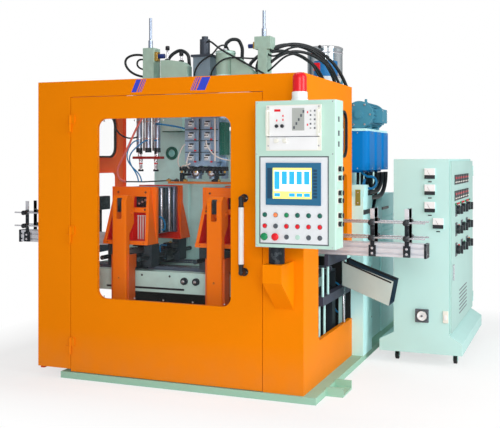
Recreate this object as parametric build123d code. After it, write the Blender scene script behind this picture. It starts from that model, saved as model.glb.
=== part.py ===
from build123d import *
import math
import os

os.makedirs("parts", exist_ok=True)

# Blow moulding machine, in millimetres.
# Origin: floor level under the middle of the front guard. +X is the operator's right,
# +Y runs into the machine and +Z is up.

# Folded sheet and general fits
SHEET = 4.0
FOLD = 30.0
GAP = 4.0
RUN_FIT = 0.05

# Front guard and its side panels
CABIN_WIDTH = 2000.0
CABIN_DEPTH = 1215.0
CABIN_FLOOR = 45.0
CABIN_TOP = 2100.0
LEFT_STEP = 20.0

# Front door
DOOR_LEFT = -725.0
DOOR_RIGHT = 720.0
DOOR_BOTTOM = 49.0
DOOR_TOP = 1985.0
DOOR_WINDOW_X = (-510.0, 500.0)
DOOR_WINDOW_Z = (577.0, 1830.0)
WINDOW_CORNER = 65.0
GLASS = 6.0
HINGE_RADIUS = 9.0
HINGE_PIN = 5.0
HINGE_LENGTH = 60.0
HINGE_HEIGHTS = (230.0, 1016.0, 1800.0)
HINGE_X = DOOR_LEFT - GAP / 2
HINGE_Y = -HINGE_RADIUS - 1.0
HINGE_LEAF = 34.0
HANDLE_X = 597.0
HANDLE_Z = (815.0, 1295.0)
HANDLE_RADIUS = 16.0
HANDLE_STANDOFF = 58.0

# Side panels: a window with a rubber profile, and the opening that the conveyor passes
SIDE_WINDOW_Y = (250.0, 1080.0)
SIDE_WINDOW_Z = (1560.0, 1910.0)
SIDE_WINDOW_CORNER = 90.0
SIDE_OPENING_Y = (327.0, 1075.0)
SIDE_OPENING_Z = (330.0, 1436.0)
SIDE_OPENING_CORNER = 40.0
POST_FOOT = 920.0
SEAL_WIDTH = 16.0
SEAL_DEPTH = 14.0

# Green base
BASE_HALF_WIDTH = CABIN_WIDTH / 2 + 85.0
BASE_HEIGHT = 45.0
BASE_BACK = 3480.0
SILL_FRONT = -15.0
SILL_DEPTH = 100.0
SILL_LEFT = -800.0
BASE_RAIL = 250.0
TIE_WIDTH = 150.0
LEFT_RAIL_FRONT = 270.0
LUG_FRONT = {1: 215.0, -1: 330.0}
LUG_WIDTH = 225.0
LUG_REACH = 115.0
LUG_PLATE = 12.0
LUG_HEIGHT = 60.0
LUG_HOLE = 11.0

# Machine centre line: die head and the two mould stations
HEAD_X = 35.0
STATION_PITCH = 480.0
PARTING_Y = 630.0
LEFT_STATION_X = HEAD_X - STATION_PITCH
RIGHT_STATION_X = 297.0

# Rear wall of the press
WALL_HALF = 640.0
WALL_Y = (1100.0, 1215.0)
WALL_TOP = 2150.0
WALL_HOLE_X = -479.0
WALL_HOLE_Z = 1597.0
WALL_HOLE_RADIUS = 32.0
WALL_WINDOW_X = (HEAD_X - 150.0, HEAD_X + 330.0)
WALL_WINDOW_Z = (1700.0, 2100.0)
TOP_BEAM_X = WALL_HALF
TOP_BEAM = (90.0, 75.0)
CROSS_BEAM = (170.0, 90.0)
TOP_BEAM_FRONT = 520.0

# Bed across the stations
BED_HALF = 930.0
BED_Y = (345.0, 1000.0)
BED_Z = (585.0, 735.0)
BED_WALL = 15.0
LEG_WIDTH = 90.0
RAIL_Y = (430.0, 880.0)
RAIL_WIDTH = 28.0
RAIL_HEIGHT = 26.0
BED_SLOT_Z = 614.0
BED_SLOT_X = (-640.0, -4.0)
BED_CAP_X = (HEAD_X - 35.0, HEAD_X + 57.0)
BED_CAP_Z = 677.0
BED_CAP_RADIUS = 22.0

# Mould station: carriage, guide rods, platens, moulds and clamp lever
CARRIAGE_HALF = 105.0
CARRIAGE_Y = (392.0, 918.0)
CARRIAGE_Z = (765.0, 862.0)
YOKE_HALF = 180.0
YOKE_Y = (575.0, 685.0)
ROD_X = 150.0
ROD_Z = 835.0
ROD_RADIUS = 16.0
ROD_Y = (205.0, 1055.0)
FOOT_WIDTH = 62.0
FOOT_DEPTH = 120.0
FOOT_UNDER_MOULD = 20.0
FOOT_Z = (766.0, 930.0)
PLATEN_HALF_LOW = 185.0
PLATEN_HALF_TOP = 143.0
PLATEN_Z = (930.0, 1345.0)
PLATEN_BACK = 30.0
PLATEN_DEPTH_LOW = 165.0
PLATEN_DEPTH_TOP = 55.0
PLATEN_WALL = 24.0
WINDOW_BAND = (1195.0, 1275.0)
LOWER_BAND = (958.0, 1160.0)
RIB_HALF = 26.0
MOULD_HALF = 155.0
MOULD_THICK = 190.0
MOULD_Z = (985.0, 1338.0)
MOULD_GAP = 0.4
MOULD_BACKPLATE = 28.0
CAVITY_PITCH = 130.0
BOTTLE_RADIUS = 42.0
BOTTLE_HEIGHT = 235.0
BOTTLE_NECK = 14.0
LEADER_PIN = 9.0
LEVER_HALF = 57.0
LEVER_FRONT = 185.0
LEVER_BACK = 305.0
LEVER_WAIST = 236.0
LEVER_BOTTOM = 420.0
LEVER_TOP = 1288.0
LEVER_PIVOT = (250.0, 470.0)
LEVER_PIN = 18.0
LEVER_SLOT = 21.0
CLEVIS_PIN_Y = 268.0
CLEVIS_PIN_Z = 1165.0
CLEVIS_PIN = 13.0
CLEVIS_FLOAT = 8.0
HANGER_PLATE = 14.0

# Die head, melt pipe, extruder
HEAD_Y = (560.0, 700.0)
HEAD_HALF = 137.0
HEAD_Z = (1500.0, 1850.0)
DIE_PITCH = 130.0
DIE_RADIUS = 46.0
DIE_TIP = 1402.0
BARREL_X = 250.0
BARREL_Z = 1950.0
BARREL_RADIUS = 62.0
BARREL_BORE = 37.5
BARREL_Y = (1240.0, 3160.0)
SCREW_ROOT = 26.0
SCREW_FIT = 0.1
FLIGHT_PITCH = 150.0
FLIGHT_WIDTH = 16.0
BAND_COUNT = 6
BAND_RADIUS = 84.0
BAND_LENGTH = 190.0
BAND_GAP = 45.0
HOPPER_Y = 3050.0
HOPPER_RADIUS = 175.0
HOPPER_TOP = 2680.0
HOPPER_NECK = BARREL_Z + 150.0
HOPPER_RIM = HOPPER_TOP - 40.0
HOPPER_CYLINDER = HOPPER_NECK + 0.463 * (HOPPER_RIM - HOPPER_NECK)
LID_HINGE = (HOPPER_Y + HOPPER_RADIUS + 20.0, HOPPER_TOP - 48.0)
LID_PIN = 3.0
GEARBOX_Y = (3160.0, 3470.0)
DRIVE_MOTOR_Y = GEARBOX_Y[1] - 110.0

# Servo cylinder of the parison and the small bodies on the deck
ACTUATOR_X = (HEAD_X - 75.0, HEAD_X + 60.0)
ACTUATOR_Y = (570.0, 700.0)
ACTUATOR_HEIGHT = 155.0
ACTUATOR_PLATE = 17.0
DECK_Y = (548.0, 635.0)
FILTER_BRACKET_X = (-300.0, -80.0)
GUSSET_X = (275.0, 440.0)
DECK_VESSEL = (197.0, 630.0, 72.0, WALL_TOP + 194.0)
REAR_VESSEL = (460.0, 2350.0, 110.0, 2440.0)

# Blow units above the stations
BLOW_Y = 630.0
LEFT_TOWER = ((45.0, WALL_TOP, 2390.0),)
RIGHT_TOWER = ((33.0, WALL_TOP, 2340.0), (60.0, 2340.0, 2430.0))
TOWER_X = (-410.0, 510.0)
BLOW_ROD_TOP = 2620.0
BLOW_CYLINDER_RADIUS = 22.0
BLOW_CYLINDER_Z = (1600.0, 2036.0)
BLOW_PIN_PITCH = CAVITY_PITCH
BLOW_PIN_RADIUS = 9.0
BLOW_PIN_TIP = 1456.0
BLOW_ROD_RADIUS = 11.0

# Hot knife under the dies
KNIFE_Z = (1368.0, 1384.0)
KNIFE_Y = (506.0, 556.0)
KNIFE_HALF = 250.0
KNIFE_ROD = 9.0

# Conveyors, guides and chute
CONVEYOR_Y = (600.0, 700.0)
CONVEYOR_Z = (882.0, 975.0)
CONVEYOR_INNER = 720.0
CONVEYOR_RIGHT = 1675.0
CONVEYOR_LEFT = -1610.0
ARM_X = (968.0, 994.0)
ARM_BOTTOM = 800.0
LINK_Y = (1170.0, 1200.0)
LOWER_ARM_X = (942.0, 994.0)
LOWER_ARM_Y = (460.0, 1185.0)
LOWER_ARM_Z = (540.0, 600.0)
COLUMN_Y = (492.0, 619.0)
COLUMN_RADIUS = 9.0
ARM_POST_Y = (1045.0, 1080.0)
GUIDE_ROD = 6.0
GUIDE_OFFSET = 26.0
GUIDE_HEIGHTS = (1013.0, 1118.0)
GUIDE_STATIONS_RIGHT = (1304.0, 1541.0)
GUIDE_STATIONS_LEFT = (-1235.0, -1528.0)
GUIDE_SPAN_RIGHT = (1040.0, 1668.0)
GUIDE_SPAN_LEFT = (-1632.0, -1040.0)
BAR_TOP = 1210.0
CHUTE_SLOPE = 21.0
CHUTE_WIDTH = 190.0
CHUTE_HEIGHT = 175.0
CHUTE_SHEET = 3.0
CHUTE_X = (1020.0, 1360.0)
CHUTE_Y = 865.0
CHUTE_MOUTH_Z = 640.0

# Rear housings
HOUSING_X = 1090.0
HOUSING_Y = (1215.0, 1500.0)
HOUSING_TOP = 1260.0
PEDESTAL_X = (-180.0, 700.0)
PEDESTAL_Y = (1215.0, 3440.0)
PEDESTAL_TOP = 1780.0
TANK_X = (-1000.0, -190.0)
TANK_Y = (1215.0, 2500.0)
TANK_TOP = 700.0
REAR_BOX_Y = (2200.0, 2720.0)
REAR_BOX_TOP = 1240.0
REAR_BOX_X = 1010.0

# Blue valve boxes and the pump motor above them
VALVE_BOX_Y = 1550.0
VALVE_BOX_LENGTH = 258.0
VALVE_BOX_PITCH = 262.0
VALVE_BOX_X = (790.0, 1050.0)
VALVE_BOX_Z = (1458.0, 1776.0)
MOTOR_X = 950.0
MOTOR_Z = 1912.0
MOTOR_RADIUS = 112.0
MOTOR_Y = (1640.0, 2120.0)

# Control pendant
PENDANT_X = (767.0, 1281.0)
PENDANT_Y = (-250.0, -80.0)
PENDANT_Z = (1010.0, 1905.0)
POST_X = 873.0
POST_Y = -150.0
POST_RADIUS = 50.0
POST_PIN = 30.0
BRACKET_X = (811.0, 936.0)
BRACKET_REACH = -240.0
BRACKET_TOP = 899.5
PROGRAMMER_X = (843.0, 1193.0)
PROGRAMMER_Z = (1600.0, 1878.0)
PANEL_X = (795.0, 1238.0)
PANEL_Z = (1030.0, 1567.0)
SCREEN_X = (840.0, 1190.0)
SCREEN_Z = (1270.0, 1527.0)
BUTTON_X = 832.0
BUTTON_PITCH_X = 70.2
BUTTON_ROWS = (1209.0, 1141.0, 1076.0)
BUTTON_RADIUS = 14.5
BUTTON_STEM = 8.0
SEPARATE_OPERATORS = ((1, 1), (2, 0), (2, 1), (2, 2), (2, 4))
SIDE_KNOBS = (1490.0, 1436.0, 1346.0, 1300.0, 1210.0, 1159.0)
BEACON_X = 1030.0
BEACON_Y = -170.0

# Electrical cabinet on casters
CABINET_X = (1310.0, 1725.0)
CABINET_Y = (1280.0, 2580.0)
CABINET_Z = (235.0, 1550.0)
FLARE_X = (1200.0, 1820.0)
FLARE_Z = (90.0, 175.0)
CABINET_SHEET = 6.0
CABINET_HINGE = (CABINET_X[1] + 19.0, CABINET_Y[1] - 2.0)
KNUCKLE_RADIUS = 6.0
METER_PLACES = ((1583.0, 1441.0), (1583.0, 1320.0), (1583.0, 1190.0), (1645.0, 1070.0))
DIAL_PLACE = (1525.0, 373.0)
CASTER_X = (1310.0, 1752.0)
CASTER_Y = (1425.0, 2440.0)
WHEEL_RADIUS = 31.0
WHEEL_WIDTH = 26.0
AXLE_RADIUS = 5.0
METER_SIZE = 78.0
DIAL_SIZE = 85.0

# Hydraulic hoses, as points along each one
HOSE_RADIUS = 13.0
SHELF_TOP = PEDESTAL_TOP + 16.0
ARCH_HOSES = [
    [(420, 692, WALL_TOP), (420, 692, 2250), (460, 760, 2350), (570, 870, 2410), (690, 1010, 2400),
     (790, 1150, 2320), (830, 1290, 2200), (830, 1420, 2070), (810, 1520, 1960), (800, 1575, 1870),
     (800, 1575, SHELF_TOP)],
    [(370, 660, WALL_TOP), (370, 660, 2240), (420, 760, 2330), (520, 900, 2370), (630, 1040, 2350),
     (720, 1190, 2270), (755, 1330, 2150), (755, 1450, 2020), (740, 1540, 1920), (735, 1575, 1860),
     (735, 1575, SHELF_TOP)],
]
LOOP_HOSES = [
    [(-330, 660, WALL_TOP), (-330, 660, 2250), (-296, 720, 2350), (-225, 735, 2390), (-150, 720, 2350),
     (-112, 660, 2260), (-112, 660, WALL_TOP)],
    [(197, 630, DECK_VESSEL[3]), (197, 630, 2400), (215, 690, 2440), (262, 720, 2440), (303, 700, 2375),
     (315, 660, 2290), (315, 660, WALL_TOP)],
]
BOX_UNDER = VALVE_BOX_Z[0] - 18.0
LOW_BOX_TOP = 760.0
HOUSING_HOSES = [
    [(x, 1935, BOX_UNDER), (x, 1935, 1385), (x + lean, 1905, 1300), (x + lean, 1815, 1180),
     (x + lean, 1700, 1050), (x, 1625, 930), (x, 1600, 850), (x, 1600, LOW_BOX_TOP)]
    for x, lean in ((868, 4), (902, 9), (937, 13), (972, 16))
] + [
    [(x, 2205, BOX_UNDER), (x, 2205, 1375), (x + lean, 2165, 1270), (x + lean, 2065, 1150),
     (x + lean, 1955, 1040), (x, 1885, 930), (x, 1860, 850), (x, 1860, LOW_BOX_TOP)]
    for x, lean in ((880, 6), (920, 10), (960, 14))
]


def span(low, high):
    return (low + high) / 2, high - low


def block(x, y, z):
    (cx, dx), (cy, dy), (cz, dz) = span(*x), span(*y), span(*z)
    return Pos(cx, cy, cz) * Box(dx, dy, dz)


def rod_x(y, z, radius, x0, x1):
    return Pos((x0 + x1) / 2, y, z) * (Rot(0, 90, 0) * Cylinder(radius, x1 - x0))


def rod_y(x, z, radius, y0, y1):
    return Pos(x, (y0 + y1) / 2, z) * (Rot(90, 0, 0) * Cylinder(radius, y1 - y0))


def rod_z(x, y, radius, z0, z1):
    return Pos(x, y, (z0 + z1) / 2) * Cylinder(radius, z1 - z0)


def facing_front(sketch, y0, y1):
    """Thicken a sketch drawn in X and Z from y0 to y1."""
    plane = Plane(origin=(0, y1, 0), x_dir=(1, 0, 0), z_dir=(0, -1, 0))
    return extrude(plane * sketch, amount=y1 - y0)


def facing_side(sketch, x0, x1):
    """Thicken a sketch drawn in Y and Z from x0 to x1."""
    plane = Plane(origin=(x0, 0, 0), x_dir=(0, 1, 0), z_dir=(1, 0, 0))
    return extrude(plane * sketch, amount=x1 - x0)


def facing_up(sketch, z0, z1):
    return extrude(Plane.XY.offset(z0) * sketch, amount=z1 - z0)


def pane(across, up, radius=0.0, grow=0.0):
    """A rectangle between two pairs of limits, grown by a margin, with round corners."""
    (ca, da), (cu, du) = span(*across), span(*up)
    width, height = da + 2 * grow, du + 2 * grow
    shape = RectangleRounded(width, height, radius + grow) if radius else Rectangle(width, height)
    return Pos(ca, cu) * shape


def outline(*points):
    return make_face(Polyline(*points, close=True))


def either_side(side, near, far):
    """The limits of a piece between two distances from the middle plane, on one side of it."""
    return tuple(sorted((side * near, side * far)))


def save(name, *shapes):
    """Write one node, as one solid or as a group of separate solids."""
    solids = []
    for shape in shapes:
        solids.extend(shape.solids())
    whole = solids[0] if len(solids) == 1 else Compound(children=solids)
    export_step(whole, f"parts/{name}.step")


# Base and frame

def foot_lug(side):
    """A channel lug with two flange plates and a bolt hole in each of its webs."""
    reach = either_side(side, BASE_HALF_WIDTH, BASE_HALF_WIDTH + LUG_REACH)
    y0 = LUG_FRONT[side]
    y1 = y0 + LUG_WIDTH
    web = block(reach, (y0, y1), (0, LUG_PLATE))
    flanges = [block(reach, (y, y + LUG_PLATE), (LUG_PLATE, LUG_HEIGHT)) for y in (y0, y1 - LUG_PLATE)]
    hole = rod_z(sum(reach) / 2, (y0 + y1) / 2, LUG_HOLE, -1, LUG_PLATE + 1)
    return web + flanges[0] + flanges[1] - hole


def base_frame():
    half = BASE_HALF_WIDTH
    inner = half - BASE_RAIL
    back = SILL_FRONT + SILL_DEPTH
    height = (0, BASE_HEIGHT)
    sill = block((SILL_LEFT, half), (SILL_FRONT, back), height)
    right = block((inner, half), (back, BASE_BACK), height)
    left = block((-half, -inner), (LEFT_RAIL_FRONT, BASE_BACK), height)
    tie_starts = (LEFT_RAIL_FRONT, WALL_Y[0], BASE_BACK - TIE_WIDTH)
    ties = [block((-inner, inner), (y, y + TIE_WIDTH), height) for y in tie_starts]
    runner = block((SILL_LEFT, SILL_LEFT + TIE_WIDTH), (back, LEFT_RAIL_FRONT + TIE_WIDTH), height)
    skid_y = (LEFT_RAIL_FRONT + TIE_WIDTH, WALL_Y[0])
    skids = [block((x - 60, x + 60), skid_y, height) for x in (-450.0, 450.0)]
    frame = sill + right + left + runner
    for piece in ties + skids:
        frame += piece
    return frame + foot_lug(1) + foot_lug(-1)


def machine_frame():
    """The welded frame, member by member: rear wall, top beams, cross beam and conveyor arms."""
    y0, y1 = WALL_Y
    low, high = WALL_WINDOW_Z
    left, right = WALL_WINDOW_X
    wall = block((-WALL_HALF, WALL_HALF), (y0, y1), (BASE_HEIGHT, low))
    wall -= rod_y(WALL_HOLE_X, WALL_HOLE_Z, WALL_HOLE_RADIUS, y0 - 1, y1 + 1)
    wall -= block((-330, -300), (y0 - 1, y0 + 12), (800, 1600))
    members = [
        wall,
        block((-WALL_HALF, left), (y0, y1), (low, WALL_TOP)),
        block((right, WALL_HALF), (y0, y1), (low, WALL_TOP)),
        block((left, right), (y0, y1), (high, WALL_TOP)),
    ]
    width, depth = TOP_BEAM
    for side in (-1, 1):
        beam_x = either_side(side, TOP_BEAM_X - width, TOP_BEAM_X)
        members.append(block(beam_x, (TOP_BEAM_FRONT, y0), (WALL_TOP - depth, WALL_TOP)))
        arm_z = (ARM_BOTTOM, CONVEYOR_Z[0])
        members.append(block(either_side(side, *ARM_X), (CONVEYOR_Y[0] - 20, LINK_Y[1]), arm_z))
        members.append(block(either_side(side, WALL_HALF, ARM_X[0]), LINK_Y, arm_z))
    cross_width, cross_depth = CROSS_BEAM
    cross_y = (TOP_BEAM_FRONT + 20, TOP_BEAM_FRONT + 20 + cross_width)
    cross_x = TOP_BEAM_X - width
    members.append(block((-cross_x, cross_x), cross_y, (WALL_TOP - cross_depth, WALL_TOP)))
    return members + right_arm_stand()


def right_arm_stand():
    """The lower arm on the right, its rear post and the thin columns under the upper arm."""
    low, high = LOWER_ARM_Z
    inner = (LOWER_ARM_X[0], ARM_X[0])
    pieces = [
        block(LOWER_ARM_X, LOWER_ARM_Y, LOWER_ARM_Z),
        block(inner, ARM_POST_Y, (BASE_HEIGHT, low)),
        block(ARM_X, ARM_POST_Y, (high, ARM_BOTTOM)),
    ]
    for y in COLUMN_Y:
        pieces.append(rod_z(sum(inner) / 2, y, COLUMN_RADIUS, BASE_HEIGHT, low))
        pieces.append(rod_z(sum(ARM_X) / 2, y, COLUMN_RADIUS, high, ARM_BOTTOM))
    return pieces


def station_bed():
    """A hollow cross beam on four legs, with a pipe slot, two shaft caps and the carriage rails."""
    x = (-BED_HALF, BED_HALF)
    y0, y1 = BED_Y
    z0, z1 = BED_Z
    wall = BED_WALL
    beam = block(x, (y0, y1), (z0, z1))
    beam -= block((x[0] - 1, x[1] + 1), (y0 + wall, y1 - wall), (z0 + wall, z1 - wall))
    beam -= block(BED_SLOT_X, (y0 - 1, y0 + 8), (BED_SLOT_Z - 5, BED_SLOT_Z + 5))
    for rail_y in RAIL_Y:
        rail = block(x, (rail_y, rail_y + RAIL_WIDTH), (z1, z1 + RAIL_HEIGHT))
        beam += rail
    for cap_x in BED_CAP_X:
        beam += rod_y(cap_x, BED_CAP_Z, BED_CAP_RADIUS, y0 - 22, y0)
        beam += rod_y(cap_x, BED_CAP_Z, BED_CAP_RADIUS / 2, y0 - 34, y0 - 22)
    for strut_x in (-500.0, 500.0):
        beam += block((strut_x - 40, strut_x + 40), (y1, WALL_Y[0]), (z0, z1))
    for side in (-1, 1):
        leg_x = either_side(side, BED_HALF - LEG_WIDTH, BED_HALF)
        for leg_y in (y0 + 60, y1 - LEG_WIDTH):
            beam += block(leg_x, (leg_y, leg_y + LEG_WIDTH), (BASE_HEIGHT, z0))
    return beam


# Guard: fascia, side panels and door

def fascia():
    """The fixed front sheet: two posts and the header round the doorway, with folded edges."""
    def face(inset):
        edge = CABIN_WIDTH / 2 - inset
        left = DOOR_LEFT - GAP - inset
        right = DOOR_RIGHT + GAP + inset
        head = DOOR_TOP + GAP + inset
        low = CABIN_FLOOR + inset
        top = CABIN_TOP - inset
        return outline(
            (-edge, low + LEFT_STEP), (left, low + LEFT_STEP), (left, head), (right, head),
            (right, low), (edge, low), (edge, top), (-edge, top))

    sheet = facing_front(face(0), 0, SHEET)
    sheet += facing_front(face(0) - portal_band(), SHEET, FOLD)
    for z in HINGE_HEIGHTS:
        sheet += hinge_half(z - HINGE_LENGTH, z, True)
    return sheet


def portal_band():
    """The face of the front sheet without the strip that its folds stand on."""
    half = CABIN_WIDTH / 2 - SHEET
    left = DOOR_LEFT - GAP - SHEET
    right = DOOR_RIGHT + GAP + SHEET
    head = DOOR_TOP + GAP + SHEET
    low = CABIN_FLOOR + SHEET
    top = CABIN_TOP - SHEET
    return outline(
        (-half, low + LEFT_STEP), (left, low + LEFT_STEP), (left, head), (right, head),
        (right, low), (half, low), (half, top), (-half, top))


def hinge_half(z0, z1, fixed):
    """Half of a lift-off hinge: the fixed half carries the pin, the door half the bore."""
    barrel = rod_z(HINGE_X, HINGE_Y, HINGE_RADIUS, z0 + 0.5, z1 - 0.5)
    leaf_x = (HINGE_X - HINGE_LEAF, HINGE_X - 3) if fixed else (HINGE_X + 3, HINGE_X + HINGE_LEAF)
    leaf = block(leaf_x, (HINGE_Y, 0), (z0 + 0.5, z1 - 0.5))
    half = barrel + leaf
    if fixed:
        return half + rod_z(HINGE_X, HINGE_Y, HINGE_PIN, z1 - 1, z1 + HINGE_LENGTH - 8)
    return half - rod_z(HINGE_X, HINGE_Y, HINGE_PIN + RUN_FIT, z0 - 1, z1 - 6)


def door_panel():
    def face(inset):
        sheet = pane((DOOR_LEFT + inset, DOOR_RIGHT - inset), (DOOR_BOTTOM + inset, DOOR_TOP - inset))
        return sheet - pane(DOOR_WINDOW_X, DOOR_WINDOW_Z, WINDOW_CORNER, inset)

    skin = facing_front(face(0), 0, SHEET)
    rim = facing_front(face(0) - face(SHEET), SHEET, FOLD)
    door = skin + rim
    for z in HINGE_HEIGHTS:
        door += hinge_half(z, z + HINGE_LENGTH, False)
    return door


def door_window():
    return facing_front(pane(DOOR_WINDOW_X, DOOR_WINDOW_Z, WINDOW_CORNER), SHEET, SHEET + GLASS)


def door_handle():
    """A straight grip between two elbows that stand on the door."""
    z0, z1 = HANDLE_Z
    y = -HANDLE_STANDOFF
    grip = rod_z(HANDLE_X, y, HANDLE_RADIUS, z0, z1)
    handle = grip
    for z in (z0, z1):
        handle += rod_y(HANDLE_X, z, HANDLE_RADIUS + 2, y, 0)
        handle += Pos(HANDLE_X, y, z) * Sphere(HANDLE_RADIUS + 2)
        handle += rod_y(HANDLE_X, z, HANDLE_RADIUS + 11, -8, 0)
    return handle


def side_panel(side):
    """A folded side sheet with a window, the conveyor opening and a cut-away rear post."""
    def face(inset):
        sheet = pane((inset, CABIN_DEPTH - inset), (CABIN_FLOOR + inset, CABIN_TOP - inset))
        sheet -= pane(SIDE_WINDOW_Y, SIDE_WINDOW_Z, SIDE_WINDOW_CORNER, inset)
        sheet -= pane(SIDE_OPENING_Y, SIDE_OPENING_Z, SIDE_OPENING_CORNER, inset)
        post = (SIDE_OPENING_Y[1] - SIDE_OPENING_CORNER * 2, CABIN_DEPTH + 100)
        return sheet - pane(post, (SIDE_OPENING_Z[0] - inset, POST_FOOT + inset))

    half = CABIN_WIDTH / 2
    low_front = FOLD
    if side > 0:
        skin = facing_side(face(0), half - SHEET, half)
        rim = facing_side(face(0) - face(SHEET), half - FOLD, half - SHEET)
        clear = block((half - FOLD - 1, half), (-1, low_front), (0, CABIN_TOP + 1))
    else:
        skin = facing_side(face(0), -half, -half + SHEET)
        rim = facing_side(face(0) - face(SHEET), -half + SHEET, -half + FOLD)
        clear = block((-half, -half + FOLD + 1), (-1, low_front), (0, CABIN_TOP + 1))
    return skin + rim - clear


def window_seal(side):
    """A rubber profile that grips the edge of the side window."""
    ring = pane(SIDE_WINDOW_Y, SIDE_WINDOW_Z, SIDE_WINDOW_CORNER)
    ring -= pane(SIDE_WINDOW_Y, SIDE_WINDOW_Z, SIDE_WINDOW_CORNER, -SEAL_WIDTH)
    half = CABIN_WIDTH / 2
    x0, x1 = (half - SEAL_DEPTH, half + 3) if side > 0 else (-half - 3, -half + SEAL_DEPTH)
    return facing_side(ring, x0, x1)


def side_pane(side):
    shape = pane(SIDE_WINDOW_Y, SIDE_WINDOW_Z, SIDE_WINDOW_CORNER, -SEAL_WIDTH)
    half = CABIN_WIDTH / 2
    x0, x1 = (half - 8, half - 8 + GLASS) if side > 0 else (-half + 8 - GLASS, -half + 8)
    return facing_side(shape, x0, x1)


# Mould stations

def carriage(x):
    """The saddle on the bed rails, its yoke, the two guide rods and the lever hanger."""
    y0, y1 = CARRIAGE_Y
    z0, z1 = CARRIAGE_Z
    rail_top = BED_Z[1] + RAIL_HEIGHT
    saddle = block((x - CARRIAGE_HALF, x + CARRIAGE_HALF), (y0, y1), (z0, z1))
    saddle += block((x - YOKE_HALF, x + YOKE_HALF), YOKE_Y, (ROD_Z - 30, ROD_Z + 30))
    for rail_y in RAIL_Y:
        low, high = rail_y - 12, rail_y + RAIL_WIDTH + 12
        saddle += block((x - CARRIAGE_HALF, x + CARRIAGE_HALF), (low, high), (rail_top - 20, z0))
        saddle -= block((x - CARRIAGE_HALF - 1, x + CARRIAGE_HALF + 1),
                        (rail_y - 0.4, rail_y + RAIL_WIDTH + 0.4), (rail_top - 25, rail_top + 0.4))
    for side in (-1, 1):
        saddle += rod_y(x + side * ROD_X, ROD_Z, ROD_RADIUS, *ROD_Y)
    low, high = LEVER_HALF + 1, LEVER_HALF + 1 + HANGER_PLATE
    front, back = LEVER_PIVOT[0] - 45, LEVER_PIVOT[0] + 45
    for side in (-1, 1):
        xs = sorted((x + side * low, x + side * high))
        cheek = block(tuple(xs), (front, back), (LEVER_BOTTOM - 5, z1))
        bridge = block(tuple(xs), (back, y0), (BED_Z[1] + 30, z1))
        saddle += cheek + bridge
    bridge = block((x - low, x + low), (LEVER_BACK + 25, y0), (BED_Z[1] + 30, z1))
    pin = rod_x(LEVER_PIVOT[0], LEVER_PIVOT[1], LEVER_PIN, x - high, x + high)
    return saddle + bridge + pin


def platen_shell(x, y_mount, outward):
    """The tapered casting behind a mould half, hollow towards its outer side."""
    low_y = y_mount + outward * PLATEN_DEPTH_LOW
    top_y = y_mount + outward * PLATEN_DEPTH_TOP
    z0, z1 = PLATEN_Z

    def slice_at(half, y_out, z):
        near, far = sorted((y_mount, y_out))
        return (Plane.XY.offset(z) * (Pos(x, (near + far) / 2) * Rectangle(2 * half, far - near))).face()

    outer = loft([slice_at(PLATEN_HALF_LOW, low_y, z0), slice_at(PLATEN_HALF_TOP, top_y, z1)])
    back_in, back_out = sorted((y_mount, y_mount + outward * PLATEN_BACK))
    back = block((x - PLATEN_HALF_LOW, x + PLATEN_HALF_LOW), (back_in, back_out), (z0, z1))
    return outer + back


def platen_at(z, low, top):
    share = (z - PLATEN_Z[0]) / (PLATEN_Z[1] - PLATEN_Z[0])
    return low + (top - low) * share


def pocket(x, side, z0, z1, y_deep, y_open, rib):
    """A tapered pocket of the platen on one side of its middle rib."""
    faces = []
    for z in (z0, z1):
        outer = platen_at(z, PLATEN_HALF_LOW, PLATEN_HALF_TOP) - PLATEN_WALL
        xs = sorted((x + side * rib, x + side * outer))
        ys = sorted((y_deep, y_open))
        sketch = Pos((xs[0] + xs[1]) / 2, (ys[0] + ys[1]) / 2) * Rectangle(xs[1] - xs[0], ys[1] - ys[0])
        faces.append((Plane.XY.offset(z) * sketch).face())
    return loft(faces)


def platen(x, outward):
    """A tapered platen casting with pockets, feet on the guide rods and mould bolts.

    The front platen, with outward of -1, also has the tongue and pin that the lever drives.
    """
    mount = PARTING_Y + outward * (MOULD_THICK + MOULD_GAP / 2)
    y_open = mount + outward * (PLATEN_DEPTH_LOW + 5)
    casting = platen_shell(x, mount, outward)
    for side in (-1, 1):
        casting -= pocket(x, side, *WINDOW_BAND, mount - outward * 5, y_open, RIB_HALF)
        casting -= pocket(x, side, *LOWER_BAND, mount + outward * PLATEN_BACK, y_open, RIB_HALF)
    for side in (-1, 1):
        foot_x = x + side * ROD_X
        inner = mount - outward * FOOT_UNDER_MOULD
        ys = sorted((inner, inner + outward * FOOT_DEPTH))
        casting += block((foot_x - FOOT_WIDTH / 2, foot_x + FOOT_WIDTH / 2), tuple(ys), FOOT_Z)
        casting -= rod_y(foot_x, ROD_Z, ROD_RADIUS + RUN_FIT, ys[0] - 1, ys[1] + 1)
    if outward < 0:
        casting -= block((x - RIB_HALF - 1, x + RIB_HALF + 1), (LEVER_FRONT - 10, LEVER_BACK + 30), PLATEN_Z)
        casting += lever_tongue(x, mount)
        front = mount - PLATEN_DEPTH_LOW
        casting += block((x - PLATEN_HALF_LOW + 1, x + PLATEN_HALF_LOW - 1),
                         (front, front + 22), (PLATEN_Z[0], LOWER_BAND[0]))
    return casting


def lever_tongue(x, mount):
    """The tongue that reaches into the slot of the clamp lever, with its cross pin."""
    tongue = LEVER_SLOT - 4
    pin = LEVER_HALF + 8
    height = (CLEVIS_PIN_Z - 24, CLEVIS_PIN_Z + 24)
    bar = block((x - tongue, x + tongue), (CLEVIS_PIN_Y, mount - PLATEN_BACK + 2), height)
    nose = rod_x(CLEVIS_PIN_Y, CLEVIS_PIN_Z, 24, x - tongue, x + tongue)
    return bar + nose + rod_x(CLEVIS_PIN_Y, CLEVIS_PIN_Z, CLEVIS_PIN, x - pin, x + pin)


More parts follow.
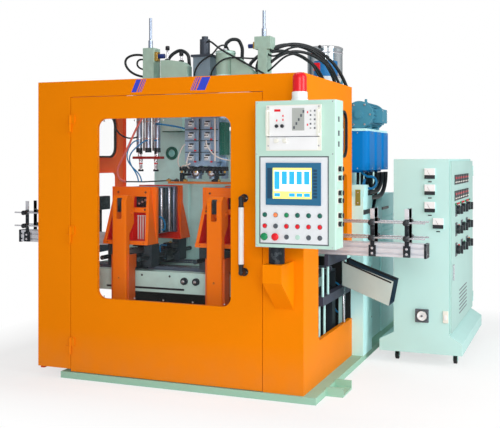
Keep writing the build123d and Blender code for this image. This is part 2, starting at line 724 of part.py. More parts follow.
def clamp_lever(x):
    """The forked lever: a waist that clears the platen and ears with upright slots."""
    f, b, w = LEVER_FRONT, LEVER_BACK, LEVER_WAIST
    profile = outline(
        (f, LEVER_BOTTOM), (b, LEVER_BOTTOM), (b, 790), (w, 870), (w, 1010),
        (b - 4, 1085), (b - 4, LEVER_TOP - 60), (b - 50, LEVER_TOP), (f + 34, LEVER_TOP), (f, LEVER_TOP - 34))
    arm = facing_side(profile, x - LEVER_HALF, x + LEVER_HALF)
    front_edges = arm.edges().filter_by(Axis.Z).group_by(Axis.Y)[0]
    arm = fillet(front_edges, 12)
    fork = pane((x - LEVER_SLOT, x + LEVER_SLOT), (CLEVIS_PIN_Z - 45, LEVER_TOP - 16), 12)
    arm -= facing_front(fork, f - 5, b + 5)
    across, up = CLEVIS_PIN + 0.6, CLEVIS_PIN + CLEVIS_FLOAT
    float_slot = pane((CLEVIS_PIN_Y - across, CLEVIS_PIN_Y + across),
                      (CLEVIS_PIN_Z - up, CLEVIS_PIN_Z + up), 12)
    arm -= facing_side(float_slot, x - LEVER_HALF - 1, x + LEVER_HALF + 1)
    y, z = LEVER_PIVOT
    arm -= rod_x(y, z, LEVER_PIN + RUN_FIT, x - LEVER_HALF - 1, x + LEVER_HALF + 1)
    return arm


def bottle(x, y, z):
    """The bottle form, as a solid of revolution with its foot at z."""
    r, n, h = BOTTLE_RADIUS, BOTTLE_NECK, BOTTLE_HEIGHT
    side = outline(
        (0, 0), (r - 8, 0), (r, 8), (r, h * 0.62), (n + 4, h * 0.8),
        (n, h * 0.84), (n, h + 90), (0, h + 90))
    return Pos(x, y, z) * revolve(Plane.XZ * side, Axis.Z)


def mould_half(x, outward):
    """Half a two-cavity mould: cooled body, backing plate, cavities and leader pins."""
    face = PARTING_Y + outward * MOULD_GAP / 2
    back = PARTING_Y + outward * (MOULD_THICK + MOULD_GAP / 2)
    inner = back - outward * MOULD_BACKPLATE
    z0, z1 = MOULD_Z
    xs = (x - MOULD_HALF, x + MOULD_HALF)
    body = block((xs[0] + 10, xs[1] - 10), tuple(sorted((face, inner))), (z0 + 8, z1))
    plate = block(xs, tuple(sorted((inner, back))), (z0, z1))
    half = body + plate
    groove_y = face + outward * 62
    for side in (-1, 1):
        half -= bottle(x + side * CAVITY_PITCH / 2, PARTING_Y, z0 + 55)
        edge = x + side * (MOULD_HALF - 10)
        groove_x = tuple(sorted((edge - side * 5, edge + side)))
        half -= block(groove_x, (groove_y - 5, groove_y + 5), (z0 + 20, z1 + 1))
        pin_x = x + side * (MOULD_HALF - 28)
        for pin_z in (z0 + 30, z1 - 30):
            if outward < 0:
                half += rod_y(pin_x, pin_z, LEADER_PIN, face - 4, face + 30)
            else:
                half -= rod_y(pin_x, pin_z, LEADER_PIN + RUN_FIT, face - 1, face + 34)
    return half


# Die head and extruder

def die_head():
    """The heated twin head: a stepped block, two dies with rings, and the knife slides."""
    x = (HEAD_X - HEAD_HALF, HEAD_X + HEAD_HALF)
    z0, z1 = HEAD_Z
    head = block(x, HEAD_Y, (z0 + 30, z1))
    head += block((x[0] + 25, x[1] - 25), (HEAD_Y[0] + 15, HEAD_Y[1] - 15), (z0, z0 + 30))
    head += block((x[0] + 40, x[1] - 40), (HEAD_Y[0] + 20, HEAD_Y[1] - 20), (z1, z1 + 40))
    for side in (-1, 1):
        die_x = HEAD_X + side * DIE_PITCH / 2
        head += rod_z(die_x, PARTING_Y, DIE_RADIUS, DIE_TIP + 30, z0)
        head += rod_z(die_x, PARTING_Y, DIE_RADIUS - 14, DIE_TIP, DIE_TIP + 30)
        head -= rod_z(die_x, PARTING_Y, DIE_RADIUS - 22, DIE_TIP - 1, DIE_TIP + 40)
        head += rod_z(die_x, PARTING_Y, DIE_RADIUS - 26, DIE_TIP + 3, DIE_TIP + 42)
        rod_at = HEAD_X + side * (HEAD_HALF + 2)
        slide_y = (HEAD_Y[1] - 50, HEAD_Y[1] - 10)
        slide = block((rod_at - 20, rod_at + 20), slide_y, (KNIFE_Z[1] + 20, z0 + 60))
        slide -= rod_y(rod_at, KNIFE_Z[1] + 50, KNIFE_ROD + RUN_FIT, HEAD_Y[1] - 60, HEAD_Y[1])
        head += slide
    neck = loft([
        (Plane.XZ.offset(-HEAD_Y[1]) * (Pos(HEAD_X, z1 - 60) * Circle(48))).face(),
        (Plane.XZ.offset(-BARREL_Y[0]) * (Pos(BARREL_X, BARREL_Z) * Circle(58))).face()])
    hanger = block((HEAD_X - 60, HEAD_X + 60), (HEAD_Y[0] + 20, HEAD_Y[1] - 20), (z1 + 40, WALL_TOP - 90))
    return head + neck + hanger


def hot_knife():
    """The cutting bar with its heated edge on two slide rods."""
    x = (HEAD_X - KNIFE_HALF, HEAD_X + KNIFE_HALF)
    knife = block(x, KNIFE_Y, KNIFE_Z)
    back, low, high = KNIFE_Y[1], KNIFE_Z[0], KNIFE_Z[1]
    knife += facing_side(outline((back, low), (back + 14, low + 2), (back, high - 8)), *x)
    for side in (-1, 1):
        rod_at = HEAD_X + side * (HEAD_HALF + 2)
        front = KNIFE_Y[0] + 26
        knife += block((rod_at - 14, rod_at + 14), (KNIFE_Y[0], front), (high, high + 64))
        knife += rod_y(rod_at, high + 50, KNIFE_ROD, front, HEAD_Y[1] + 20)
    return knife


def parison_actuator():
    """The servo cylinder over the head that sets the wall thickness of the parison."""
    (x0, x1), (y0, y1) = ACTUATOR_X, ACTUATOR_Y
    top = WALL_TOP + ACTUATOR_HEIGHT
    cap = top + ACTUATOR_PLATE
    x, y = HEAD_X - 8, (y0 + y1) / 2
    body = block(ACTUATOR_X, ACTUATOR_Y, (WALL_TOP, top))
    body += block((x0 - 13, x1 + 13), (y0 - 14, y1 + 14), (top, cap))
    return body + rod_z(x, y, 38, cap, cap + 118) + rod_z(x, y, 24, cap + 118, cap + 140)


def deck_vessels():
    """The bodies beside the actuator: a tapered bracket, a gusset and two upright vessels."""
    x0, x1 = FILTER_BRACKET_X
    z = WALL_TOP
    bracket = outline((x0, z), (x1, z), (x1, z + 90), (x1 - 40, z + 122), (x0 + 70, z + 140), (x0, z + 140))
    g0, g1 = GUSSET_X
    gusset = outline((g0, z), (g1, z), (g1, z + 30), (g0 + 45, z + 140), (g0, z + 140))
    x, y, radius, top = DECK_VESSEL
    rear_x, rear_y, rear_radius, rear_top = REAR_VESSEL
    return [
        facing_front(bracket, *DECK_Y),
        facing_front(gusset, *DECK_Y),
        rod_z(x, y, radius, z, top),
        rod_z(rear_x, rear_y, rear_radius, PEDESTAL_TOP, rear_top),
    ]


def extruder_barrel():
    """The bored barrel with its end flanges and the feed throat under the hopper."""
    y0, y1 = BARREL_Y
    barrel = rod_y(BARREL_X, BARREL_Z, BARREL_RADIUS, y0, y1)
    barrel += rod_y(BARREL_X, BARREL_Z, BARREL_RADIUS + 34, y0, y0 + 40)
    barrel += rod_y(BARREL_X, BARREL_Z, BARREL_RADIUS + 40, y1 - 40, y1)
    under = BARREL_Z - 90
    throat = block((BARREL_X - 90, BARREL_X + 90), (HOPPER_Y - 85, HOPPER_Y + 70), (under, BARREL_Z + 90))
    saddle = block((BARREL_X - 70, BARREL_X + 70), (HOPPER_Y - 60, HOPPER_Y + 50), (PEDESTAL_TOP, under))
    front_saddle = block((BARREL_X - 60, BARREL_X + 60), (y0 + 45, y0 + 85), (PEDESTAL_TOP, BARREL_Z - 40))
    barrel += throat + saddle + front_saddle
    barrel -= rod_y(BARREL_X, BARREL_Z, BARREL_BORE, y0 + 20, y1 + 1)
    barrel -= rod_z(BARREL_X, HOPPER_Y, 32, BARREL_Z, BARREL_Z + 95)
    return barrel


def extruder_screw():
    """The screw: a tapered root with one helical flight, worked as a swept thread."""
    y0, y1 = BARREL_Y
    start, stop = y0 + 60, y1 - 30
    root = rod_y(BARREL_X, BARREL_Z, SCREW_ROOT, start, y1 + 90)
    tip = Pos(BARREL_X, start - 15, BARREL_Z) * (Rot(90, 0, 0) * Cone(SCREW_ROOT, 6, 30))
    turns = int((stop - start - 140) / FLIGHT_PITCH)
    flight_radius = math.sqrt((BARREL_BORE - SCREW_FIT) ** 2 - (FLIGHT_WIDTH / 2) ** 2)
    path = Helix(FLIGHT_PITCH, FLIGHT_PITCH * turns, SCREW_ROOT)
    depth = flight_radius - SCREW_ROOT + 1
    start_point = path @ 0
    tangent = path % 0
    across = Plane(origin=start_point, x_dir=(1, 0, 0), z_dir=tangent)
    section = across * (Pos(depth / 2 - 1, 0) * Rectangle(depth, FLIGHT_WIDTH))
    flight = sweep(section, path=path, is_frenet=True)
    flight = Pos(BARREL_X, start + 60 + FLIGHT_PITCH * turns, BARREL_Z) * (Rot(90, 0, 0) * flight)
    return root + tip + flight


def heater_bands():
    bands = []
    y = BARREL_Y[0] + 95
    for _ in range(BAND_COUNT):
        end = y + BAND_LENGTH
        ring = rod_y(BARREL_X, BARREL_Z, BAND_RADIUS, y, end)
        ring -= rod_y(BARREL_X, BARREL_Z, BARREL_RADIUS, y - 1, end + 1)
        top = BARREL_Z + BAND_RADIUS
        terminal = block((BARREL_X - 25, BARREL_X + 25), (y + 50, end - 50), (top - 4, top + 32))
        bands.append(ring + terminal)
        y += BAND_LENGTH + BAND_GAP
    return bands


def gearmotor():
    """Reduction gearbox with its flanged drive motor."""
    y0, y1 = GEARBOX_Y
    shaft = SCREW_ROOT + RUN_FIT
    box = block((BARREL_X - 170, BARREL_X + 170), (y0, y1), (PEDESTAL_TOP, BARREL_Z + 150))
    box = fillet(box.edges().filter_by(Axis.Y), 25)
    box -= rod_y(BARREL_X, BARREL_Z, shaft, y0 - 1, y0 + 96)
    motor = rod_z(BARREL_X, DRIVE_MOTOR_Y, 118, BARREL_Z + 150, BARREL_Z + 175)
    motor += rod_z(BARREL_X, DRIVE_MOTOR_Y, 98, BARREL_Z + 175, BARREL_Z + 450)
    motor += rod_z(BARREL_X, DRIVE_MOTOR_Y, 88, BARREL_Z + 450, BARREL_Z + 500)
    return box + motor


def hopper():
    """The open drum with its cone, neck flange and rolled rim."""
    r = HOPPER_RADIUS
    rim = HOPPER_RIM
    neck = HOPPER_NECK
    foot = neck - 60
    side = outline(
        (32, foot), (70, foot), (70, foot + 14), (38, foot + 14), (38, neck),
        (r, HOPPER_CYLINDER), (r, rim - 8), (r + 5, rim - 8), (r + 5, rim), (r - 4, rim),
        (r - 4, HOPPER_CYLINDER + 4), (32, neck))
    drum = Pos(BARREL_X, HOPPER_Y, 0) * revolve(Plane.XZ * side, Axis.Z)
    for offset in (-30, 30):
        drum += rod_x(LID_HINGE[0], LID_HINGE[1], 4, BARREL_X + offset - 8, BARREL_X + offset + 8)
        drum += block((BARREL_X + offset - 8, BARREL_X + offset + 8),
                      (HOPPER_Y + r - 6, LID_HINGE[0]), (LID_HINGE[1] - 4, LID_HINGE[1] + 4))
    return drum + rod_x(LID_HINGE[0], LID_HINGE[1], LID_PIN, BARREL_X - 38, BARREL_X + 38)


def hopper_lid():
    """The dished lid with its knob and the hinge knuckle at the back."""
    r = HOPPER_RADIUS
    rim = HOPPER_RIM
    side = outline(
        (0, rim + 1), (r + 5, rim + 1), (r + 5, rim + 14), (r - 20, rim + 26), (26, rim + 30),
        (26, HOPPER_TOP), (0, HOPPER_TOP))
    lid = Pos(BARREL_X, HOPPER_Y, 0) * revolve(Plane.XZ * side, Axis.Z)
    y, z = LID_HINGE
    x0, x1 = BARREL_X - 20, BARREL_X + 20
    lid += block((x0, x1), (HOPPER_Y + r - 12, y), (rim + 2, rim + 10))
    lid += block((x0, x1), (y - 6, y + 6), (z, rim + 10))
    lid += rod_x(y, z, 8, x0, x1)
    return lid - rod_x(y, z, LID_PIN + RUN_FIT, x0 - 1, x1 + 1)


# Blow units

def blow_station(x, tower_x, tower):
    """The fixed part of a blow unit: head bracket, press cylinders and the tower with its rod."""
    under_beam = WALL_TOP - CROSS_BEAM[1]
    low, high = BLOW_CYLINDER_Z
    unit = block((x - 110, x + 110), (BLOW_Y - 60, BLOW_Y + 60), (high, under_beam))
    for dx in (-78, 0, 78):
        unit += rod_z(x + dx, BLOW_Y, BLOW_CYLINDER_RADIUS, low, high)
    for dx in (-78, 78):
        unit -= rod_z(x + dx, BLOW_Y, BLOW_ROD_RADIUS + RUN_FIT, low - 1, low + 300)
    for half, z0, z1 in tower:
        unit += block((tower_x - half, tower_x + half), (BLOW_Y - 70, BLOW_Y + 40), (z0, z1))
    top = tower[-1][2]
    unit += rod_z(tower_x, BLOW_Y - 30, 11, top, BLOW_ROD_TOP)
    return unit + rod_z(tower_x, BLOW_Y - 30, 17, top, top + 60)


def blow_pins(x):
    """The moving part of a blow unit: two rods, the clamp plate and two blow pins."""
    plate_z = 1560.0
    unit = block((x - 105, x + 105), (BLOW_Y - 34, BLOW_Y + 34), (plate_z - 9, plate_z + 9))
    for dx in (-78, 78):
        unit += rod_z(x + dx, BLOW_Y, BLOW_ROD_RADIUS, plate_z + 9, plate_z + 240)
    for side in (-1, 1):
        pin_x = x + side * BLOW_PIN_PITCH / 2
        unit += rod_z(pin_x, BLOW_Y, BLOW_PIN_RADIUS, BLOW_PIN_TIP + 18, plate_z + 28)
        unit += rod_z(pin_x, BLOW_Y, 16, BLOW_PIN_TIP, BLOW_PIN_TIP + 18)
        unit += rod_z(pin_x, BLOW_Y, 15, plate_z - 26, plate_z - 9)
    return unit


# Take-out: conveyors, guides and chute

def t_slot_beam(x0, x1):
    """An aluminium profile beam with two slots on each side and a belt channel on top."""
    y0, y1 = CONVEYOR_Y
    z0, z1 = CONVEYOR_Z
    section = pane((y0, y1), (z0, z1), 4)
    for z in (z0 + 24, z0 + 64):
        for y_out, y_in in ((y0 - 1, y0 + 10), (y1 - 10, y1 + 1)):
            section -= pane(tuple(sorted((y_out, y_in))), (z - 6, z + 6))
    section -= pane((y0 + 12, y1 - 12), (z1 - 7, z1 + 1))
    section -= pane((y0 + 22, y1 - 22), (z0 + 14, z1 - 22))
    return facing_side(section, x0, x1)


def conveyor(x_in, x_out):
    """One take-out conveyor: profile beam, belt in its channel and a closed end cap."""
    x0, x1 = sorted((x_in, x_out))
    cap = 15.0
    y0, y1 = CONVEYOR_Y
    z0, z1 = CONVEYOR_Z
    if x_out > 0:
        beam_x, cap_x = (x0, x1 - cap), (x1 - cap, x1)
    else:
        beam_x, cap_x = (x0 + cap, x1), (x0, x0 + cap)
    beam = t_slot_beam(*beam_x)
    belt = block(beam_x, (y0 + 12, y1 - 12), (z1 - 7, z1 - 1))
    return beam + belt + block(cap_x, (y0 - 3, y1 + 3), (z0 - 3, z1 + 2))


def guide_set(stations, rod_span):
    """Guide rods on upright bars, with clamp blocks and star knobs."""
    pieces = []
    y0, y1 = CONVEYOR_Y
    z0 = CONVEYOR_Z[0]
    for face_y, out in ((y0, -1), (y1, 1)):
        rod_at = face_y + out * GUIDE_OFFSET
        clamp_y = tuple(sorted((face_y + out * 8, rod_at + out * 14)))
        knob_y = sorted((rod_at + out * 14, rod_at + out * 36))
        group = None
        for z in GUIDE_HEIGHTS:
            rail = rod_x(rod_at, z, GUIDE_ROD, *rod_span)
            group = rail if group is None else group + rail
        for x in stations:
            bar = block((x - 14, x + 14), tuple(sorted((face_y, face_y + out * 8))), (z0 + 4, BAR_TOP))
            shoe = block((x - 24, x + 24), tuple(sorted((face_y, face_y + out * 14))), (z0 + 2, z0 + 78))
            group += bar + shoe
            for z in GUIDE_HEIGHTS:
                group += block((x - 18, x + 18), clamp_y, (z - 17, z + 17))
                group += rod_y(x, z, 13, *knob_y)
        pieces.append(group)
    return pieces


def discharge_chute():
    """A folded chute that slopes down out of the right-hand opening, on one bracket."""
    x0, x1 = CHUTE_X
    half = CHUTE_WIDTH / 2
    y = CHUTE_Y + half
    t = CHUTE_SHEET
    drop = math.tan(math.radians(CHUTE_SLOPE))

    def section(x):
        z = CHUTE_MOUTH_Z - (x - (CABIN_WIDTH / 2)) * drop
        return (x, z)

    def side_shape(low, high):
        (xa, za), (xb, zb) = section(x0), section(x1)
        return outline((xa, za + low), (xb, zb + low), (xb + 34 * bool(high > t), zb + high), (xa, za + high))

    def run(low, high, ya, yb):
        return facing_front(side_shape(low, high), ya, yb)

    trough = run(0, t, y - half, y + half)
    trough += run(0, CHUTE_HEIGHT, y - half, y - half + t)
    trough += run(0, CHUTE_HEIGHT, y + half - t, y + half)
    xa, za = section(x0 + 20)
    bracket = block((x0 + 5, x0 + 45), (y + half, WALL_Y[1]), (za + 30, za + 90))
    return trough + bracket


# Rear housings, valve boxes, motor

def rear_housings():
    """The pedestal under the extruder, the oil tank and the right-hand service boxes, one by one."""
    inner = PEDESTAL_X[1]
    front_y, back_y = HOUSING_Y
    tank = block(TANK_X, TANK_Y, (BASE_HEIGHT, TANK_TOP))
    tank += rod_z(-600, 1600, 45, TANK_TOP, TANK_TOP + 60)
    rear = block((inner, REAR_BOX_X), REAR_BOX_Y, (BASE_HEIGHT, REAR_BOX_TOP))
    for row in range(9):
        z = 700 + row * 42
        rear -= block((REAR_BOX_X - 6, REAR_BOX_X + 1), (REAR_BOX_Y[0] + 60, REAR_BOX_Y[1] - 60), (z, z + 16))
    shelf_y = (VALVE_BOX_Y - 10, VALVE_BOX_Y + 3 * VALVE_BOX_PITCH + 10)
    return [
        block(PEDESTAL_X, PEDESTAL_Y, (BASE_HEIGHT, PEDESTAL_TOP)),
        tank,
        block((inner, HOUSING_X), HOUSING_Y, (BASE_HEIGHT, HOUSING_TOP)),
        block((inner + 40, HOUSING_X), (front_y + 20, front_y + 150), (HOUSING_TOP, HOUSING_TOP + 90)),
        block((inner, HOUSING_X - 90), (back_y, REAR_BOX_Y[0]), (BASE_HEIGHT, LOW_BOX_TOP)),
        rear,
        block((inner, VALVE_BOX_X[1] - 20), shelf_y, (VALVE_BOX_Z[1], SHELF_TOP)),
    ]


def valve_box(index):
    y0 = VALVE_BOX_Y + index * VALVE_BOX_PITCH
    y = (y0, y0 + VALVE_BOX_LENGTH)
    x = (VALVE_BOX_X[0], VALVE_BOX_X[1])
    box = block(x, y, (VALVE_BOX_Z[0], VALVE_BOX_Z[1]))
    outer = box.edges().filter_by(Axis.Z).group_by(Axis.X)[-1]
    box = fillet(outer, 55)
    box += block((x[0] + 60, x[1] - 60), (y[0] + 60, y[1] - 60), (VALVE_BOX_Z[0] - 18, VALVE_BOX_Z[0]))
    return box


def pump_motor():
    """The finned motor with end shields, feet, terminal box and the pump on its rear end."""
    y0, y1 = MOTOR_Y
    r = MOTOR_RADIUS
    motor = rod_y(MOTOR_X, MOTOR_Z, r - 12, y0 + 40, y1 - 40)
    for index in range(20):
        angle = index * 18.0
        fin = Rot(0, angle, 0) * (Pos(r - 8, 0, 0) * Box(16, y1 - y0 - 90, 3))
        motor += Pos(MOTOR_X, (y0 + y1) / 2, MOTOR_Z) * fin
    motor += rod_y(MOTOR_X, MOTOR_Z, r, y0, y0 + 42)
    motor += rod_y(MOTOR_X, MOTOR_Z, r, y1 - 42, y1)
    motor += rod_y(MOTOR_X, MOTOR_Z, 34, y0 - 30, y0)
    motor += rod_y(MOTOR_X, MOTOR_Z, 62, y1, y1 + 60)
    motor += block((MOTOR_X - 55, MOTOR_X + 55), (y1 + 60, y1 + 210), (MOTOR_Z - 60, MOTOR_Z + 60))
    motor += block((MOTOR_X + r - 22, MOTOR_X + r + 48), (y0 + 150, y0 + 330), (MOTOR_Z - 62, MOTOR_Z + 50))
    foot_top = MOTOR_Z - r + 16
    for y in (y0 + 70, y1 - 130):
        motor += block((MOTOR_X - 95, MOTOR_X + 75), (y, y + 60), (SHELF_TOP, foot_top))
    return motor


# Control pendant

def pendant_bracket():
    """A folded wedge on the right post, with the socket that the swivel post turns in."""
    reach = BRACKET_REACH
    wedge = facing_side(outline((0, 590), (0, BRACKET_TOP), (reach, BRACKET_TOP), (reach, 785)), *BRACKET_X)
    return wedge - rod_z(POST_X, POST_Y, POST_PIN + RUN_FIT, 795, BRACKET_TOP + 1)


def pendant_post():
    collar = rod_z(POST_X, POST_Y, POST_RADIUS, BRACKET_TOP + 0.5, PENDANT_Z[0])
    return collar + rod_z(POST_X, POST_Y, POST_PIN, 800, BRACKET_TOP + 0.5)


def operator_place(row, column):
    return BUTTON_X + column * BUTTON_PITCH_X, BUTTON_ROWS[row]


def pendant_box():
    """The folded control box with its recessed panel, plain push buttons and side knobs."""
    x0, x1 = PENDANT_X
    y0, y1 = PENDANT_Y
    box = block(PENDANT_X, PENDANT_Y, PENDANT_Z)
    box = fillet(box.edges().filter_by(Axis.Z), 8)
    box -= facing_front(pane(PANEL_X, PANEL_Z), y0 - 1, y0 + 3)
    box -= facing_front(pane(SCREEN_X, SCREEN_Z), y0, y0 + 40)
    box -= facing_front(pane(PROGRAMMER_X, PROGRAMMER_Z), y0 - 1, y0 + 60)
    for row in range(3):
        for column in range(6):
            x, z = operator_place(row, column)
            if (row, column) in SEPARATE_OPERATORS:
                box += rod_y(x, z, BUTTON_RADIUS, y0 - 2, y0 + 4)
                box -= rod_y(x, z, BUTTON_STEM + RUN_FIT, y0 - 10, y0 + 40)
            else:
                box += rod_y(x, z, BUTTON_RADIUS, y0 - 4, y0 + 4)
                box += rod_y(x, z, BUTTON_RADIUS - 4, y0 - 10, y0 - 3)
    for z in SIDE_KNOBS:
        box += rod_x((y0 + y1) / 2 - 20, z, 15, x1, x1 + 26)
    return box


def selector(row, column):
    """A turn knob with its pointer blade and stem."""
    x, z = operator_place(row, column)
    y0 = PENDANT_Y[0]
    knob = rod_y(x, z, BUTTON_RADIUS - 2.5, y0 - 12, y0 - 2.3)
    knob += block((x - 3.5, x + 3.5), (y0 - 24, y0 - 11), (z - 11, z + 11))
    return knob + rod_y(x, z, BUTTON_STEM, y0 - 3, y0 + 34)


def mushroom(row, column):
    """A palm button with a domed head and its stem."""
    x, z = operator_place(row, column)
    y0 = PENDANT_Y[0]
    side = outline((0, 0), (BUTTON_RADIUS + 8, 0), (BUTTON_RADIUS + 8, 7), (BUTTON_RADIUS + 2, 14), (0, 17))
    head = Pos(x, y0 - 12, z) * (Rot(90, 0, 0) * revolve(Plane.XZ * side, Axis.Z))
    return head + rod_y(x, z, BUTTON_STEM, y0 - 13, y0 + 34)


def pendant_screen():
    x, z = SCREEN_X, SCREEN_Z
    y0 = PENDANT_Y[0] + 3
    bezel = facing_front(pane(x, z), y0 - 12, y0 + 37)
    bezel -= facing_front(pane((x[0] + 44, x[1] - 56), (z[0] + 38, z[1] - 30)), y0 - 13, y0 - 8)
    return bezel


def parison_programmer():
    """The programmer's rack unit with its two side handles and setting knobs."""
    x0, x1 = PROGRAMMER_X
    z0, z1 = PROGRAMMER_Z
    y0 = PENDANT_Y[0]
    unit = block(PROGRAMMER_X, (y0 - 10, y0 + 60), PROGRAMMER_Z)
    for x in (x0 + 14, x1 - 14):
        grip = block((x - 6, x + 6), (y0 - 42, y0 - 10), (z0 + 90, z1 - 30))
        grip -= block((x - 7, x + 7), (y0 - 32, y0 - 10), (z0 + 104, z1 - 44))
        unit += grip
    for x in (x0 + 70, x0 + 125):
        unit += rod_y(x, z0 + 60, 13, y0 - 30, y0 - 10)
    return unit


def beacon():
    """The warning lamp: flanged base and a ribbed lens with a domed top."""
    side = outline(
        (0, 0), (52, 0), (52, 12), (46, 18), (46, 55), (43, 57), (43, 150), (36, 166), (18, 176), (0, 178))
    return Pos(BEACON_X, BEACON_Y, PENDANT_Z[1]) * revolve(Plane.XZ * side, Axis.Z)


# Electrical cabinet

def cabinet_body():
    """The cabinet shell open at its right side, with flared plinth, meters and caster forks."""
    x0, x1 = CABINET_X
    y0, y1 = CABINET_Y
    z0, z1 = CABINET_Z
    t = CABINET_SHEET
    shell = block(CABINET_X, CABINET_Y, (z0, z1))
    shell -= block((x0 + t, x1 + 1), (y0 + t + 30, y1 - t - 30), (z0 + t + 20, z1 - t - 30))
    (left, right), (low, high) = FLARE_X, FLARE_Z
    profile = outline((left, low), (right, low), (right, high), (x1, z0), (x0, z0), (left, high))
    shell += facing_front(profile, y0, y1)
    shell += block((x0 + 60, x0 + 66), (y0 + t + 60, y1 - t - 60), (z0 + t + 20, z1 - t - 60))
    for y in (y0 + 200, y1 - 240):
        shell += block((x0 + t, x0 + 60), (y, y + 40), (700, 740))
    for x, z in METER_PLACES:
        half = METER_SIZE / 2
        shell += block((x - half, x + half), (y0 - 10, y0), (z - half, z + half))
    shell += rod_y(DIAL_PLACE[0], DIAL_PLACE[1], DIAL_SIZE / 2, y0 - 16, y0)
    hinge_x, hinge_y = CABINET_HINGE
    for low, high in ((z0 + 60, z0 + 98), (z1 - 98, z1 - 60)):
        shell += block((x1 - 35, hinge_x), (y1, y1 + 3), (low, high))
        shell += rod_z(hinge_x, hinge_y, KNUCKLE_RADIUS, low, high)
    for cx in CASTER_X:
        for cy in CASTER_Y:
            shell += caster_fork(cx, cy)
    return shell


def caster_fork(x, y):
    """A plate caster's fork with its axle."""
    half = WHEEL_WIDTH / 2
    fork = block((x - half - 6, x + half + 6), (y - 26, y + 26), (FLARE_Z[0] - 14, FLARE_Z[0]))
    fork += rod_z(x, y, 14, FLARE_Z[0] - 20, FLARE_Z[0] - 14)
    for side in (-1, 1):
        xs = sorted((x + side * (half + 1.5), x + side * (half + 5)))
        fork += block(tuple(xs), (y - 12, y + 12), (WHEEL_RADIUS - 10, FLARE_Z[0] - 14))
    return fork + rod_x(y, WHEEL_RADIUS, AXLE_RADIUS, x - half - 7, x + half + 7)


def caster_wheel(x, y):
    half = WHEEL_WIDTH / 2
    wheel = rod_x(y, WHEEL_RADIUS, WHEEL_RADIUS, x - half, x + half)
    wheel = fillet(wheel.edges().filter_by(GeomType.CIRCLE), 3)
    return wheel - rod_x(y, WHEEL_RADIUS, AXLE_RADIUS + RUN_FIT, x - half - 1, x + half + 1)


def cabinet_door():
    """The right-hand door with two rows of controllers and three rotary isolators."""
    x0 = CABINET_X[1] + 1
    y0, y1 = CABINET_Y
    z0, z1 = CABINET_Z
    door = block((x0, x0 + 18), (y0 + 12, y1 - 12), (z0 + 16, z1 - 16))
    for z in (1392, 1270):
        for index in range(8):
            y = y0 + 130 + index * 105
            door += block((x0 + 18, x0 + 26), (y, y + 72), (z - 36, z + 36))
    for z in (1160, 1010, 855):
        for index in range(3):
            y = y0 + 240 + index * 320
            door += rod_x(y, z, 34, x0 + 18, x0 + 30)
            door += block((x0 + 30, x0 + 52), (y - 9, y + 9), (z - 30, z + 30))
    door += block((x0, x0 + 18), (y1 - 12, y1 - 2), (z0 + 100, z1 - 100))
    hinge_x, hinge_y = CABINET_HINGE
    for low, high in ((z0 + 100, z0 + 150), (z1 - 150, z1 - 100)):
        door += rod_z(hinge_x, hinge_y, KNUCKLE_RADIUS, low, high)
    return door


# Hoses

def hose(points, radius):
    """A hose along straight runs joined by tangent arcs as large as the runs allow."""
    vectors = [Vector(*p) for p in points]
    radii = []
    for before, at, after in zip(vectors, vectors[1:], vectors[2:]):
        run = min((at - before).length, (after - at).length)
        turn = math.radians((at - before).get_angle(after - at))
        radii.append(0.45 * run / math.tan(turn / 2))
    path = FilletPolyline(*points, radius=radii)
    start = Plane(origin=path @ 0, z_dir=path % 0)
    return sweep(start * Circle(radius), path=path)


for name, shape in {
    "base_frame": base_frame(),
    "station_bed": station_bed(),
    "front_fascia": fascia(),
    "side_panel_left": side_panel(-1),
    "side_panel_right": side_panel(1),
    "door_panel": door_panel(),
    "door_window": door_window(),
    "door_handle": door_handle(),
    "die_head": die_head(),
    "hot_knife": hot_knife(),
    "parison_actuator": parison_actuator(),
    "extruder_barrel": extruder_barrel(),
    "extruder_screw": extruder_screw(),
    "extruder_gearmotor": gearmotor(),
    "hopper": hopper(),
    "hopper_lid": hopper_lid(),
    "pump_motor": pump_motor(),
    "discharge_chute": discharge_chute(),
    "pendant_bracket": pendant_bracket(),
    "pendant_post": pendant_post(),
    "pendant_box": pendant_box(),
    "pendant_screen": pendant_screen(),
    "parison_programmer": parison_programmer(),
    "beacon": beacon(),
    "cabinet_body": cabinet_body(),
    "cabinet_door": cabinet_door(),
}.items():
    save(name, shape)

save("side_window_seals", window_seal(-1), window_seal(1))
save("side_window_panes", side_pane(-1), side_pane(1))
save("machine_frame", *machine_frame())
save("rear_housings", *rear_housings())
save("deck_vessels", *deck_vessels())
save("heater_bands", *heater_bands())
save("valve_boxes", *[valve_box(index) for index in range(3)])
save("conveyors", conveyor(-CONVEYOR_INNER, CONVEYOR_LEFT), conveyor(CONVEYOR_INNER, CONVEYOR_RIGHT))
save("conveyor_guides", *guide_set(GUIDE_STATIONS_LEFT, GUIDE_SPAN_LEFT),
     *guide_set(GUIDE_STATIONS_RIGHT, GUIDE_SPAN_RIGHT))
save("blow_towers", blow_station(LEFT_STATION_X, TOWER_X[0], LEFT_TOWER),
     blow_station(HEAD_X + STATION_PITCH, TOWER_X[1], RIGHT_TOWER))
save("hydraulic_hoses", *[hose(points, HOSE_RADIUS) for points in ARCH_HOSES + LOOP_HOSES + HOUSING_HOSES])

for label, x in (("left", LEFT_STATION_X), ("right", RIGHT_STATION_X)):
    save(f"carriage_{label}", carriage(x))
    save(f"front_platen_{label}", platen(x, -1))
    save(f"rear_platen_{label}", platen(x, 1))
    save(f"front_mould_{label}", mould_half(x, -1))
    save(f"rear_mould_{label}", mould_half(x, 1))
    save(f"clamp_lever_{label}", clamp_lever(x))

save("blow_pins_left", blow_pins(LEFT_STATION_X))
save("blow_pins_right", blow_pins(HEAD_X + STATION_PITCH))
save("start_button", mushroom(2, 0))
save("stop_button", mushroom(2, 1))
save("mode_selector", selector(1, 1))
save("heater_selector", selector(2, 2))
save("pump_selector", selector(2, 4))

